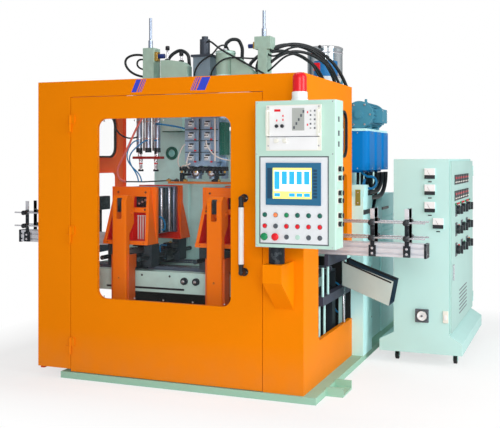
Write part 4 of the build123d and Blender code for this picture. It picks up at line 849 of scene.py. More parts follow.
@dataclass
class Guard:
    """The guard: front sheet, door, side sheets, windows and the door's handle."""

    handle_x: float = 0.597
    handle_z: Span = (0.815, 1.295)
    standoff: float = 0.058

    def make(self) -> None:
        """Dress the sheets and build the fittings."""
        dress(Finish.HEADER, "front_fascia")
        dress(Finish.GUARD, "side_panel_right", "door_panel", "pendant_bracket")
        dress(Finish.INNER_SHADED, "side_panel_left")
        dress(Finish.RUBBER, "side_window_seals")
        dress(Finish.GLASS, "door_window", "side_window_panes")
        dress(Finish.BLACK, "door_handle")
        self.handle()
        self.floor_shoes()
        self.window_clips()

    def handle(self) -> None:
        """The pale sleeve on the grip, with a ring at each end."""
        low, high = self.handle_z
        form = Form()
        x, y = self.handle_x, -self.standoff
        form.post(Finish.WHITE, x, y, (low + 0.052, high - 0.052), 0.0175, 32, 0.001)
        for z in (low + 0.050, high - 0.056):
            form.post(Finish.BLACK, x, y, (z, z + 0.006), 0.0195, 32, 0.001)
        for z in (low, high):
            for side in (-1, 1):
                form.bolt(Finish.SILVER, (x + side * 0.0205, -0.008, z), FRONT, 0.003)
        form.finish_as("grip_sleeve", "front_door")

    def floor_shoes(self) -> None:
        """The two shoes that the door's lower edge stands on when it is shut."""
        form = Form()
        for x in (-0.600, 0.640):
            form.block(Finish.BLACK_STEEL, about(x, 0.035), (0.006, 0.028), (0.0535, 0.070), 0.001)
        form.finish_as("door_shoes", "front_door")

    def window_clips(self) -> None:
        """Round-headed screws that hold the pane from inside."""
        form = Form()
        for x in (-0.46, -0.22, 0.0, 0.22, 0.45):
            for z in (0.592, 1.815):
                form.screw((x, 0.010, z), (0, 1, 0))
        form.finish_as("pane_screws", "front_door")


@dataclass
class Press:
    """The fixed structure: base, bed, rear wall and a black tray of painted shade beneath the bed."""

    bed_front: float = 0.345
    wall_y: float = 1.100

    def make(self) -> None:
        """Dress the structure and build its fittings."""
        dress(Finish.SILL, "base_frame")
        dress(Finish.BED, "station_bed")
        dress(Finish.FRAME, "machine_frame")
        dress(Finish.HOUSING, "rear_housings")
        self.tray()
        self.shaft_caps()
        self.rails()
        self.hole_ring()
        self.right_bay()
        self.wall_box()

    def tray(self) -> None:
        """Painted shade: a black sheet under the bed and the black tray that it stands in, for the shade
        beneath the bed.
        """
        form = Form()
        form.block(Finish.RUBBER, (-0.826, 0.826), (0.800, 0.806), (0.056, 0.582), 0.001)
        form.block(Finish.RUBBER, (-0.820, 0.820), (0.440, 1.080), (0.046, 0.054), 0.001)
        for x in (-0.820, 0.812):
            form.block(Finish.RUBBER, (x, x + 0.008), (0.440, 1.080), (0.054, 0.110), 0.001)
        form.finish_as("painted_shade_tray", "machine")

    def shaft_caps(self) -> None:
        """Bright domes and dark rings on the two shaft ends of the bed."""
        form = Form()
        y = self.bed_front
        for x in (0.0, 0.092):
            form.turned(Finish.BLACK_STEEL, (x, y - 0.001, 0.677),
                        [(0.026, 0.0), (0.026, 0.016), (0.023, 0.0245), (0.022, 0.0)], FRONT, 36)
            form.turned(Finish.SILVER, (x, y - 0.034, 0.677),
                        [(0.0112, -0.008), (0.0112, 0.0), (0.009, 0.002), (0.0, 0.0028)], FRONT, 32)
        for x in (-0.345, -0.12, 0.21, 0.43, 0.62):
            form.bolt(Finish.BLACK_STEEL, (x, y, 0.705), FRONT, 0.006)
        form.block(Finish.BLACK, (-0.640, -0.004), (y - 0.003, y + 0.006), (0.607, 0.621), 0.001)
        form.finish_as("bed_fittings", "machine")

    def rails(self) -> None:
        """Steel cover strips on the bed's rails, and the toothed rack between them."""
        form = Form()
        for y in (0.480, 0.752):
            form.block(Finish.SILVER, (-0.928, 0.928), (y - 0.0003, y + 0.0283), (0.7600, 0.7612), 0.0)
        form.block(Finish.BLACK_STEEL, (-0.900, 0.900), (0.620, 0.650), (0.7352, 0.748), 0.001)
        form.finish_as("rail_strips", "machine")

    def right_bay(self) -> None:
        """A dark sheet of painted shade, the bright post and the blue air tubes behind the right side
        opening.
        """
        form = Form()
        # Painted shade: the black sheet stands for the shade behind the right side opening.
        form.block(Finish.RUBBER, (0.664, 0.992), (1.2068, 1.2148), (0.050, 0.880), 0.001)
        form.post(Finish.SILVER, 0.985, 1.030, (0.046, 0.799), 0.011, 20)
        form.finish_as("right_bay_shade_sheet_and_post", "machine")
        runs = (
            ((860, 1206, 640), (872, 1120, 610), (909, 1100, 622), (950, 1100, 575), (950, 1120, 520),
             (920, 1206, 500)),
            ((860, 1206, 480), (880, 1110, 440), (910, 1100, 380), (950, 1100, 392), (960, 1120, 450),
             (940, 1206, 470)),
        )
        for index, points in enumerate(runs):
            Tube(f"bay_air_tube_{index + 1}", metres(points), 0.007, Finish.BLUE_TUBE).make()

    def wall_box(self) -> None:
        """The box high on the wall, the dark box by the left opening, and the air tubes' rail."""
        form = Form()
        form.block(Finish.BED, (-0.520, -0.335), (1.000, 1.0995), (1.775, 2.064), 0.004)
        # Painted shade: the thin dark green plate under the wall box stands for the shade on its underside.
        form.block(Finish.DARK_GREEN, (-0.517, -0.338), (1.003, 1.0990), (1.768, 1.776), 0.001)
        form.block(Finish.BLACK_STEEL, (-0.992, -0.942), (0.735, 0.905), (1.142, 1.250), 0.004)
        form.post(Finish.BLACK_STEEL, -0.981, 0.820, (0.8825, 1.144), 0.010, 16)
        form.rod(Finish.BLACK_STEEL, (-0.445, 1.0995, 1.377), (-0.445, 0.560, 1.377), 0.005, 14)
        form.rod(Finish.BLACK_STEEL, (-0.600, 0.560, 1.377), (-0.440, 0.560, 1.377), 0.005, 14)
        form.finish_as("wall_fittings", "machine")

    def hole_ring(self) -> None:
        """The ring that lines the cable hole in the rear wall."""
        form = Form()
        form.turned(Finish.DARK_GREEN, (-0.479, self.wall_y + 0.0005, 1.597),
                    [(0.0315, 0.0), (0.054, 0.0), (0.054, 0.008), (0.046, 0.012), (0.0315, 0.012),
                     (0.0315, 0.0)], FRONT, 40)
        form.finish_as("cable_hole_ring", "machine")


@dataclass
class MouldStation:
    """One station: carriage, platens, mould halves and clamp lever."""

    side: str
    mount_front: float = 0.4398
    mount_rear: float = 0.8202
    parting: float = 0.630
    platen_z: Span = (0.930, 1.345)
    mould_z: Span = (0.985, 1.338)
    half: float = 0.155
    x: float = field(init=False)

    def __post_init__(self) -> None:
        """Take the station's middle from its side."""
        self.x = STATION_X[self.side]

    def make(self) -> None:
        """Dress the CAD nodes and build the fittings."""
        dress(Finish.SADDLE, f"carriage_{self.side}")
        dress(Finish.CAST_FRONT, f"front_platen_{self.side}")
        dress(Finish.CAST_REAR, f"rear_platen_{self.side}")
        dress(Finish.MOULD, f"front_mould_{self.side}", f"rear_mould_{self.side}")
        dress(Finish.LEVER, f"clamp_lever_{self.side}")
        self.front_fittings()
        self.rear_fittings()
        self.lever_fittings()
        self.carriage_fittings()

    def _ribs(self, form: Form, near: float, far: float) -> None:
        """Stand bright and dark upright bars on both flanks of a mould half."""
        low, high = self.mould_z
        finishes = (Finish.MOULD, Finish.CARRIAGE, Finish.SILVER, Finish.CARRIAGE)
        for x in about(self.x, self.half - 0.009):
            for index, finish in enumerate(finishes):
                y = near + (far - near) * (index + 0.5) / len(finishes)
                form.post(finish, x, y, (low + 0.012, high - 0.006), 0.0095, 16, 0.001)

    def front_fittings(self) -> None:
        """Bolts, tie bars and pins on the front platen, and the bars on its mould."""
        form = Form()
        front = self.mount_front
        for side in (-1, 1):
            for z in (1.305, 1.180, 0.946):
                share = (z - self.platen_z[0]) / (self.platen_z[1] - self.platen_z[0])
                reach = 0.165 - 0.110 * share
                x = self.x + side * (0.150 - 0.040 * share)
                form.bolt(Finish.BLACK_STEEL, (x, front - reach + 0.0015, z), (0, -1, 0.26), 0.006)
            for offset in (0.046, 0.066, 0.086, 0.106):
                x = self.x + side * offset
                form.post(Finish.WIRE, x, front - 0.052, (0.962, 1.130), 0.005, 14, 0.001)
                form.bolt(Finish.WHITE, (x, front - 0.052, 1.130), UP, 0.007)
            window = between(self.x + side * 0.0275, self.x + side * 0.124)
            form.block(Finish.BLACK_STEEL, window, (front - 0.045, front - 0.040), (1.198, 1.272), 0.001)
            for index in range(3):
                x = self.x + side * (0.050 + 0.026 * index)
                form.bolt(Finish.SILVER, (x, front - 0.045, 1.222 + 0.013 * index), FRONT, 0.007)
        self._ribs(form, front + 0.030, self.parting - 0.006)
        form.finish_as(f"front_clamp_fittings_{self.side}", f"front_clamp_{self.side}")
        points = ((-4, 560, 1020), (20, 556, 1012), (34, 545, 1040), (36, 530, 1085), (20, 520, 1115),
                  (-4, 520, 1118))
        Tube(f"cooling_hose_{self.side}_1", metres(points, self.x + self.half), 0.006, Finish.BLUE_TUBE,
             f"front_clamp_{self.side}").make()

    def rear_fittings(self) -> None:
        """Bolts on the rear platen's flanks and the bars on its mould."""
        form = Form()
        rear = self.mount_rear
        for side in (-1, 1):
            for z in (1.290, 1.150, 1.010):
                half = 0.185 - 0.042 * (z - self.platen_z[0]) / (self.platen_z[1] - self.platen_z[0])
                form.bolt(Finish.BLACK_STEEL, (self.x + side * half, rear + 0.030, z), (side, 0, 0), 0.007)
        self._ribs(form, rear - 0.030, self.parting + 0.006)
        form.finish_as(f"rear_clamp_fittings_{self.side}", f"rear_clamp_{self.side}")

    def lever_fittings(self) -> None:
        """Caps on the lever's pin, the dark slide in its slot and the grease nipple on its front."""
        form = Form()
        for side in (-1, 1):
            form.turned(Finish.CARRIAGE, (self.x + side * 0.0572, 0.250, 0.560),
                        [(0.0, 0.0), (0.020, 0.0), (0.018, 0.004), (0.0, 0.005)], (side, 0, 0), 24)
        form.block(Finish.BLACK_STEEL, about(self.x, 0.0196), (0.1975, 0.2005), (1.170, 1.270), 0.001)
        form.turned(Finish.BRASS, (self.x, 0.185, 0.700),
                    [(0.0, 0.0), (0.006, 0.0), (0.006, 0.004), (0.003, 0.006), (0.003, 0.010), (0.0, 0.012)],
                    FRONT, 14)
        form.finish_as(f"lever_fittings_{self.side}", f"clamp_lever_{self.side}")

    def carriage_fittings(self) -> None:
        """Valve blocks, small cylinders, bolts, side plates and a short hose on the carriage."""
        form = Form()
        x = self.x
        for side in (-1, 1):
            across = x + side * 0.165
            end = x + side * 0.150
            form.block(Finish.BLACK_STEEL, between(x + side * 0.085, x + side * 0.180), (0.706, 0.790),
                       (0.868, 0.905), 0.004)
            form.rod(Finish.CARRIAGE, (across, 0.600, 0.800), (across, 0.700, 0.800), 0.018, 24, 0.002)
            form.bolt(Finish.BRASS, (x + side * 0.130, 0.745, 0.905), UP, 0.010)
            form.rod(Finish.CARRIAGE, (end, 0.2035, 0.835), (end, 0.206, 0.835), 0.0165, 32)
            for y in (0.585, 0.630, 0.675):
                form.bolt(Finish.BLACK_STEEL, (x + side * 0.110, y, 0.865), UP, 0.007)
            form.block(Finish.BLACK_STEEL, between(x + side * 0.176, x + side * 0.183), (0.590, 0.670),
                       (0.810, 0.862), 0.001)
        form.finish_as(f"carriage_fittings_{self.side}", f"station_{self.side}")
        inward = 1 if self.side == "left" else -1
        points = ((115, 708, 888), (115, 686, 888), (112, 640, 900), (116, 592, 896), (128, 574, 860),
                  (146, 582, 818), (160, 602, 802))
        line = metres([(inward * across, y, z) for across, y, z in points], x)
        Tube(f"carriage_hose_{self.side}", line, 0.006, Finish.BLUE_TUBE, f"station_{self.side}").make()


@dataclass
class DieHead:
    """The heated head with its terminals, the knife and the servo cylinder above."""

    x: float = 0.035
    half: float = 0.137
    face: float = 0.560
    parting: float = 0.630
    z: Span = (1.500, 1.850)

    def make(self) -> None:
        """Dress the head and build its terminals, bars and wires."""
        dress(Finish.HEAD, "die_head")
        dress(Finish.KNIFE, "hot_knife")
        dress(Finish.ACTUATOR, "parison_actuator")
        self.terminals()
        self.manifold()
        self.wires()

    def terminals(self) -> None:
        """Two columns of heater terminals with screws and red caps."""
        form = Form()
        rows = [self.z[0] + 0.060 + index * 0.082 for index in range(4)]
        for x in (self.x - 0.078, self.x + 0.052):
            for z in rows:
                form.block(Finish.TERMINAL, about(x, 0.024), (self.face - 0.022, self.face + 0.002),
                           about(z, 0.024), 0.003)
                form.block(Finish.WHITE, (x - 0.015, x + 0.013), (self.face - 0.036, self.face - 0.020),
                           (z - 0.014, z + 0.012), 0.003)
                form.block(Finish.BLACK_STEEL, (x - 0.010, x + 0.024), (self.face - 0.030, self.face - 0.020),
                           (z + 0.013, z + 0.023), 0.002)
                for side in (-1, 1):
                    form.bolt(Finish.BLACK_STEEL, (x + side * 0.008, self.face - 0.036, z), FRONT, 0.0048)
                cap = (x + 0.030, self.face, z - 0.030)
                form.rod(Finish.RED, (cap[0], self.face - 0.020, cap[2]), cap, 0.006, 14, 0.001)
        for x, finish in ((self.x - 0.012, Finish.BLACK_STEEL), (self.x + 0.112, Finish.WIRE)):
            form.post(finish, x, self.face - 0.012, (self.z[0] + 0.035, self.z[1] - 0.004), 0.006, 18, 0.001)
        for z in (self.z[0] + 0.100, self.z[0] + 0.184, self.z[0] + 0.266):
            form.block(Finish.BLACK_STEEL, (self.x - self.half + 0.004, self.x + self.half - 0.004),
                       (self.face - 0.004, self.face + 0.001), about(z, 0.003), 0.0008)
        # Painted shade: the dark green block on the head's right flank stands for the shade behind the head.
        side = self.x + self.half
        form.block(Finish.DARK_GREEN, (side - 0.002, side + 0.040), (self.face + 0.020, self.face + 0.110),
                   (self.z[0] + 0.080, self.z[1] - 0.030), 0.003)
        for x in about(self.x, 0.065):
            form.turned(Finish.SILVER, (x, self.parting - 0.032, 1.448),
                        [(0.0, 0.0), (0.030, 0.0), (0.030, 0.010), (0.022, 0.016), (0.0, 0.018)], FRONT, 28)
        form.finish_as("heater_terminals", "machine")

    def manifold(self) -> None:
        """The dark air manifold over the knife, with a row of small fittings."""
        form = Form()
        y = (0.572, 0.600)
        form.block(Finish.BLACK_STEEL, (self.x - 0.190, self.x + 0.200), y, (1.462, 1.494), 0.004)
        for index in range(13):
            x = self.x - 0.175 + index * 0.029
            finish = Finish.BLACK_STEEL if index % 4 else Finish.BRASS
            form.post(finish, x, 0.586, (1.446, 1.464), 0.009, 16, 0.001)
        form.finish_as("air_manifold", "machine")
        form = Form()
        for index, x in enumerate((-0.215, -0.150, -0.080, 0.150, 0.185)):
            finish = Finish.BRASS if index % 2 == 0 else Finish.BLACK_STEEL
            form.block(finish, about(x, 0.014), (0.508, 0.534), (1.3838, 1.400), 0.002)
            form.bolt(Finish.BLACK_STEEL, (x, 0.521, 1.400), UP, 0.006)
        form.finish_as("knife_clamps", "hot_knife")

    def wires(self) -> None:
        """Pale heater leads that hang from the terminals and run to the side."""
        runs = (
            ((-43, 526, 1600), (-46, 510, 1590), (-60, 506, 1540), (-72, 520, 1500), (-74, 576, 1482)),
            ((87, 526, 1682), (90, 506, 1668), (130, 496, 1600), (190, 496, 1560), (270, 506, 1535),
             (380, 560, 1545), (430, 600, 1590), (437, 630, 1640)),
            ((-43, 526, 1518), (-50, 512, 1506), (-90, 516, 1500), (-128, 560, 1498), (-136, 574, 1486)),
            ((-100, 566, 1660), (-112, 535, 1645), (-136, 528, 1580), (-155, 535, 1520), (-152, 575, 1492)),
        )
        for index, points in enumerate(runs):
            Tube(f"heater_lead_{index + 1}", metres(points), 0.0045, Finish.WIRE).make()


@dataclass
class BlowUnits:
    """The blow units over the two stations."""

    left: float = -0.445
    right: float = 0.515
    y: float = 0.630
    plate: float = 1.560

    def make(self) -> None:
        """Dress the units and build their fittings."""
        dress(Finish.TOWER, "blow_towers")
        dress(Finish.SILVER, "blow_pins_left", "blow_pins_right")
        for side, x in (("left", self.left), ("right", self.right)):
            self.cylinder_fittings(side, x)
            self.moving_fittings(side, x)
        self.tubes()

    def cylinder_fittings(self, side: str, x: float) -> None:
        """End caps, clamp rings and elbows on the press cylinders."""
        form = Form()
        for offset in (-0.078, 0.0, 0.078):
            for z in (1.600, 1.990):
                form.post(Finish.BLACK_STEEL, x + offset, self.y, (z, z + 0.034), 0.0245, 28, 0.002)
            for z in (1.700, 1.830):
                form.post(Finish.SILVER, x + offset, self.y, (z, z + 0.010), 0.0240, 28, 0.001)
            form.rod(Finish.BLUE_TUBE, (x + offset, self.y - 0.022, 1.690),
                     (x + offset, self.y - 0.042, 1.690), 0.007, 14, 0.001)
        for offset in (-0.040, 0.040):
            form.post(Finish.SILVER, x + offset, self.y + 0.004, (1.612, 2.036), 0.008, 16)
        form.finish_as(f"cylinder_fittings_{side}", "machine")

    def moving_fittings(self, side: str, x: float) -> None:
        """The red clamp plate and the dark blow heads."""
        form = Form()
        low = self.plate - 0.0097
        form.block(Finish.DARK_RED, about(x, 0.118), about(self.y, 0.037), (low, low + 0.0194), 0.002)
        for offset in (-0.065, 0.065):
            for finish, z, radius, sides, edge in (
                    (Finish.BLACK_STEEL, (1.4558, 1.470), 0.021, 24, 0.002),
                    (Finish.SILVER, (1.480, 1.545), 0.0118, 20, 0.001),
                    (Finish.RED, (1.512, 1.521), 0.0150, 20, 0.001),
                    (Finish.BLACK_STEEL, (1.588, 1.606), 0.013, 20, 0.001)):
                form.post(finish, x + offset, self.y, z, radius, sides, edge)
        form.finish_as(f"blow_head_fittings_{side}", f"blow_unit_{side}")

    def tubes(self) -> None:
        """Air tubes that loop from the cylinders down the left side."""
        runs = (
            ("blue_air_tube_1", Finish.BLUE_TUBE, 0.005,
             ((-523, 588, 1690), (-552, 573, 1686), (-606, 560, 1600), (-578, 558, 1510), (-492, 556, 1450),
              (-468, 558, 1410), (-466, 560, 1378))),
            ("blue_air_tube_2", Finish.BLUE_TUBE, 0.005,
             ((-445, 588, 1690), (-462, 558, 1674), (-565, 540, 1600), (-562, 545, 1520), (-520, 550, 1460),
              (-496, 556, 1420), (-492, 560, 1378))),
            ("blue_air_tube_3", Finish.BLUE_TUBE, 0.007,
             ((-367, 608, 1812), (-345, 568, 1818), (-270, 570, 1806), (-190, 600, 1795), (-101, 630, 1770))),
            ("pink_air_tube_1", Finish.PINK_TUBE, 0.008,
             ((-470, 602, 1880), (-498, 562, 1812), (-560, 555, 1680), (-622, 556, 1560), (-672, 560, 1490),
              (-684, 566, 1425), (-640, 562, 1378), (-597, 560, 1377))),
            ("black_air_tube", Finish.HOSE, 0.006,
             ((-523, 602, 1720), (-550, 562, 1700), (-634, 560, 1718), (-694, 560, 1776), (-706, 560, 1860),
              (-680, 585, 1970), (-600, 620, 2078))),
        )
        for name, finish, radius, points in runs:
            Tube(name, metres(points), radius, finish).make()


@dataclass
class Extruder:
    """Barrel, heater bands, drive, hopper, motor and valve boxes behind the press."""

    motor: tuple[float, float] = (0.950, 1.912)

    def make(self) -> None:
        """Dress the drive and the hopper, and build their fittings."""
        dress(Finish.BARREL, "extruder_barrel", "extruder_screw")
        dress(Finish.SILVER, "heater_bands")
        dress(Finish.MOTOR, "extruder_gearmotor", "pump_motor")
        dress(Finish.DECK, "deck_vessels")
        dress(Finish.DRUM, "hopper")
        dress(Finish.POLISHED, "hopper_lid")
        dress(Finish.VALVE_BLUE, "valve_boxes")
        dress(Finish.HOSE, "hydraulic_hoses")
        self.hopper_fittings()
        self.motor_fittings()
        self.box_fittings()
        self.housing_fittings()
        self.deck_fittings()

    def hopper_fittings(self) -> None:
        """Clamp bands on the drum, and the small knob on the lid's rim."""
        form = Form()
        for z in (2.372, 2.600):
            form.turned(Finish.SILVER, (0.250, 3.050, z),
                        [(0.1748, -0.010), (0.1782, -0.008), (0.1782, 0.008), (0.1748, 0.010)], steps=64)
        form.block(Finish.RED, (0.160, 0.200), (2.878, 2.904), (2.585, 2.625), 0.003)
        form.finish_as("hopper_bands", "machine")
        form = Form()
        form.knob(Finish.BLACK, (0.250, 2.872, 2.652), FRONT, 0.016, 0.014)
        form.finish_as("lid_knob", "hopper_lid")

    def motor_fittings(self) -> None:
        """Eye bolt, end-shield bolts and the terminal box's screws."""
        x, z = self.motor
        form = Form()
        for index in range(6):
            angle = index * math.tau / 6
            at = (x + 0.092 * math.cos(angle), 1.640, z + 0.092 * math.sin(angle))
            form.bolt(Finish.SILVER, at, FRONT, 0.007)
        form.turned(Finish.MOTOR, (x, 1.880, z + 0.100),
                    [(0.0, 0.0), (0.020, 0.0), (0.020, 0.012), (0.011, 0.018), (0.011, 0.040), (0.0, 0.044)],
                    steps=20)
        for y in (1.805, 1.955):
            for dz in (-0.046, 0.034):
                form.bolt(Finish.SILVER, (x + 0.160, y, z + dz), RIGHT, 0.005)
        form.finish_as("motor_fittings", "machine")

    def box_fittings(self) -> None:
        """Screws on the valve boxes."""
        form = Form()
        for index in range(3):
            y = 1.550 + index * 0.262
            for z in (1.474, 1.760):
                form.screw((1.0495, y + 0.129, z), RIGHT)
        for x in (0.830, 0.960):
            for z in (1.474, 1.760):
                form.screw((x, 1.550, z), FRONT)
        form.finish_as("valve_box_fittings", "machine")

    def housing_fittings(self) -> None:
        """Recessed grips, the bare plate, the seams and the ring of air tube at the hoses."""
        form = Form()
        x = 1.090
        form.block(Finish.BLACK, (x - 0.0005, x + 0.005), (1.216, 1.492), (1.124, 1.160), 0.002)
        form.block(Finish.BLACK, (1.0096, 1.018), (2.215, 2.470), (1.105, 1.128), 0.002)
        form.block(Finish.GOLD_PLATE, (1.028, 1.067), (1.2125, 1.2155), (1.193, 1.315), 0.0005)
        for z in (1.213, 1.295):
            form.bolt(Finish.SILVER, (1.0475, 1.2125, z), FRONT, 0.005)
        for z in (0.300, 0.700, 1.000):
            form.bolt(Finish.SILVER, (x, 1.485, z), RIGHT, 0.006)
        form.finish_as("housing_fittings", "machine")
        ring = [(0.985, 1.600, 1.440)]
        for step in range(14):
            angle = math.radians(125 - step * 27)
            across, up = 0.050 * math.cos(angle), 0.050 * math.sin(angle)
            ring.append((1.072 + across, 1.540 - 0.002 * step, 1.362 + up))
        ring += [(1.000, 1.498, 1.300), (0.985, 1.480, 1.262)]
        Tube("housing_air_loop", ring, 0.0095, Finish.BLUE_TUBE).make()
        self.return_hoses()

    def return_hoses(self) -> None:
        """Thick black hoses that hang in loops under the valve boxes."""
        runs = (
            ((2300, 1438), (2300, 1370), (2225, 1262), (2020, 1222), (1800, 1240), (1620, 1228),
             (1499, 1222)),
            ((2140, 1438), (2140, 1380), (2070, 1305), (1900, 1268), (1720, 1284), (1600, 1272),
             (1499, 1178)),
            ((1975, 1438), (1975, 1400), (1930, 1335), (1820, 1312), (1710, 1335), (1665, 1400),
             (1665, 1438)),
        )
        for index, run in enumerate(runs):
            points = metres([(1026, y, z) for y, z in run])
            Tube(f"return_hose_{index + 1}", points, 0.019, Finish.HOSE).make()

    def deck_fittings(self) -> None:
        """Knobs, elbows and couplings on the small bodies over the press."""
        form = Form()
        for x, foot, top in ((-0.262, 2.2895, 2.400), (-0.147, 2.2755, 2.352)):
            form.post(Finish.BLACK, x, 0.592, (foot, foot + 0.012), 0.020, 24, 0.002)
            form.post(Finish.SILVER, x, 0.592, (foot + 0.010, top - 0.030), 0.008, 16, 0.001)
            form.knob(Finish.BLACK, (x, 0.592, top - 0.030), UP, 0.016, 0.030)
        form.block(Finish.BRASS, (-0.366, -0.340), (0.575, 0.625), (2.290, 2.360), 0.003)
        form.rod(Finish.DARK_BLUE, (-0.342, 0.600, 2.327), (-0.290, 0.600, 2.327), 0.018, 24, 0.002)
        form.block(Finish.BRASS, (0.432, 0.452), (0.575, 0.625), (2.345, 2.395), 0.003)
        form.rod(Finish.DARK_BLUE, (0.390, 0.600, 2.368), (0.434, 0.600, 2.368), 0.016, 24, 0.002)
        form.turned(Finish.SILVER, (0.197, 0.630, 2.3435),
                    [(0.0, 0.0), (0.030, 0.0), (0.030, 0.012), (0.018, 0.020), (0.0, 0.022)], steps=32)
        for z in (2.165, 2.330):
            form.turned(Finish.BED, (0.197, 0.630, z),
                        [(0.0715, -0.006), (0.0755, -0.004), (0.0755, 0.004), (0.0715, 0.006)], steps=48)
        form.block(Finish.RED, (0.380, 0.440), (2.232, 2.262), (2.350, 2.420), 0.004)
        form.finish_as("deck_fittings", "machine")
        self.deck_hoses()

    def deck_hoses(self) -> None:
        """Black hoses and cables over the press, from the servo cylinder and the blow units."""
        runs = (
            (0.007, ((60, 605, 2416), (90, 580, 2430), (166, 540, 2361), (285, 535, 2300), (465, 540, 2196),
                     (545, 570, 2148))),
            (0.006, ((-35, 590, 2148), (-26, 550, 2190), (22, 540, 2255), (76, 535, 2290), (150, 532, 2318),
                     (176, 540, 2385), (235, 580, 2385), (222, 622, 2348))),
            (0.006, ((96, 590, 2148), (112, 545, 2185), (170, 536, 2250), (240, 532, 2284),
                     (340, 532, 2284), (420, 545, 2270), (478, 600, 2278))),
            (0.007, ((541, 600, 2305), (590, 570, 2270), (660, 566, 2310), (740, 580, 2352),
                     (850, 640, 2345), (940, 800, 2262), (955, 1000, 2140), (930, 1170, 2050))),
            (0.007, ((541, 590, 2180), (590, 566, 2200), (660, 566, 2275), (750, 580, 2305),
                     (830, 660, 2270), (850, 800, 2180), (850, 960, 2100))),
            (0.013, ((541, 640, 2330), (620, 670, 2372), (700, 760, 2400), (820, 900, 2365),
                     (905, 1080, 2275), (945, 1260, 2130), (945, 1420, 1990), (900, 1545, 1900),
                     (870, 1580, 1800))),
            (0.011, ((541, 655, 2250), (600, 680, 2310), (690, 770, 2352), (800, 900, 2320),
                     (880, 1080, 2235), (905, 1250, 2110), (900, 1420, 1960), (860, 1550, 1880),
                     (835, 1580, 1800))),
            (0.009, ((-456, 610, 2335), (-510, 600, 2352), (-610, 600, 2345), (-640, 600, 2290),
                     (-600, 600, 2225), (-530, 605, 2185), (-456, 615, 2175))),
            (0.007, ((-456, 640, 2300), (-520, 640, 2330), (-570, 640, 2290), (-530, 640, 2240),
                     (-456, 640, 2230))),
        )
        for index, (radius, points) in enumerate(runs):
            Tube(f"deck_hose_{index + 1}", metres(points), radius, Finish.HOSE).make()


@dataclass
class TakeOut:
    """Conveyors, guide rails and the chute."""

    right: tuple[float, ...] = (1.304, 1.541)
    left: tuple[float, ...] = (-1.235, -1.528)
    heights: tuple[float, ...] = (1.013, 1.118)
    star: tuple[Span, ...] = ((0.0, 0.0), (0.0136, 0.0), (0.0136, 0.012), (0.019, 0.014), (0.019, 0.021),
                              (0.015, 0.0226), (0.0, 0.0226))
    chute_slope: float = 21.0
    chute_middle: float = 1.206
    chute_length: float = 0.374

    def make(self) -> None:
        """Dress the take-out and build its clamps and covers."""
        dress(Finish.PROFILE, "conveyors")
        dress(Finish.SILVER, "conveyor_guides")
        dress(Finish.CHUTE, "discharge_chute")
        self.clamps()
        self.end_covers()
        self.chute_edge()

    def clamps(self) -> None:
        """Dark clamp blocks, bars and star knobs over the plain ones."""
        form = Form()
        for x in self.right + self.left:
            for face, out in ((0.600, -1), (0.700, 1)):
                rod = face + out * 0.026
                bar = between(face, face + out * 0.0086)
                shoe = between(face, face + out * 0.0146)
                form.block(Finish.BLACK_STEEL, about(x, 0.0146), bar, (0.8855, 1.1400), 0.001)
                form.block(Finish.PROFILE, about(x, 0.0146), bar, (1.1400, 1.2106), 0.001)
                form.block(Finish.BLACK_STEEL, about(x, 0.0246), shoe, (0.8835, 0.9606), 0.002)
                for z in (0.905, 0.940):
                    form.bolt(Finish.SILVER, (x, face + out * 0.0146, z), (0, out, 0), 0.007)
                for z in self.heights:
                    hold = between(face + out * 0.008, rod + out * 0.0146)
                    form.block(Finish.BLACK, about(x, 0.0186), hold, about(z, 0.0176), 0.003)
                    form.turned(Finish.BLACK, (x, rod + out * 0.014, z), self.star, (0, out, 0), 10)
        form.finish_as("guide_clamps", "machine")

    def end_covers(self) -> None:
        """Dark covers with rounded corners on the conveyors' outer ends."""
        form = Form()
        for x, out in ((1.660, 1), (-1.595, -1)):
            ends = between(x - out * 0.004, x + out * 0.0154)
            form.block(Finish.BLACK_STEEL, ends, (0.5962, 0.7038), (0.8782, 0.9778), 0.003)
            for y in (0.618, 0.682):
                form.bolt(Finish.SILVER, (x + out * 0.0154, y, 0.905), (out, 0, 0), 0.004)
        form.finish_as("conveyor_covers", "machine")

    def chute_edge(self) -> None:
        """The dark edging strips on the chute's two walls."""
        slope = math.radians(self.chute_slope)
        height = 0.640 - (self.chute_middle - 1.0) * math.tan(slope) + 0.1755
        turn = Matrix.Translation((self.chute_middle, 0.0, height)) @ Matrix.Rotation(slope, 4, "Y")
        form = Form()
        for y in (0.8655, 1.0505):
            form.block(Finish.RUBBER, about(0.0, self.chute_length / 2), (y - 0.003, y + 0.006),
                       (-0.008, 0.004), 0.002, turn)
        form.finish_as("chute_edging", "machine")


class Operator(Enum):
    """The kinds of control on the pendant's panel, by their letters in its layout."""

    GREEN = "G"
    DARK_GREEN = "D"
    LAMP = "L"
    RED = "R"
    SELECTOR = "S"
    KEY = "K"
    BARE = " "

    def finish(self) -> Finish:
        """The finish of the control's cap."""
        return Finish.GREY if self is Operator.SELECTOR else Finish[self.name]


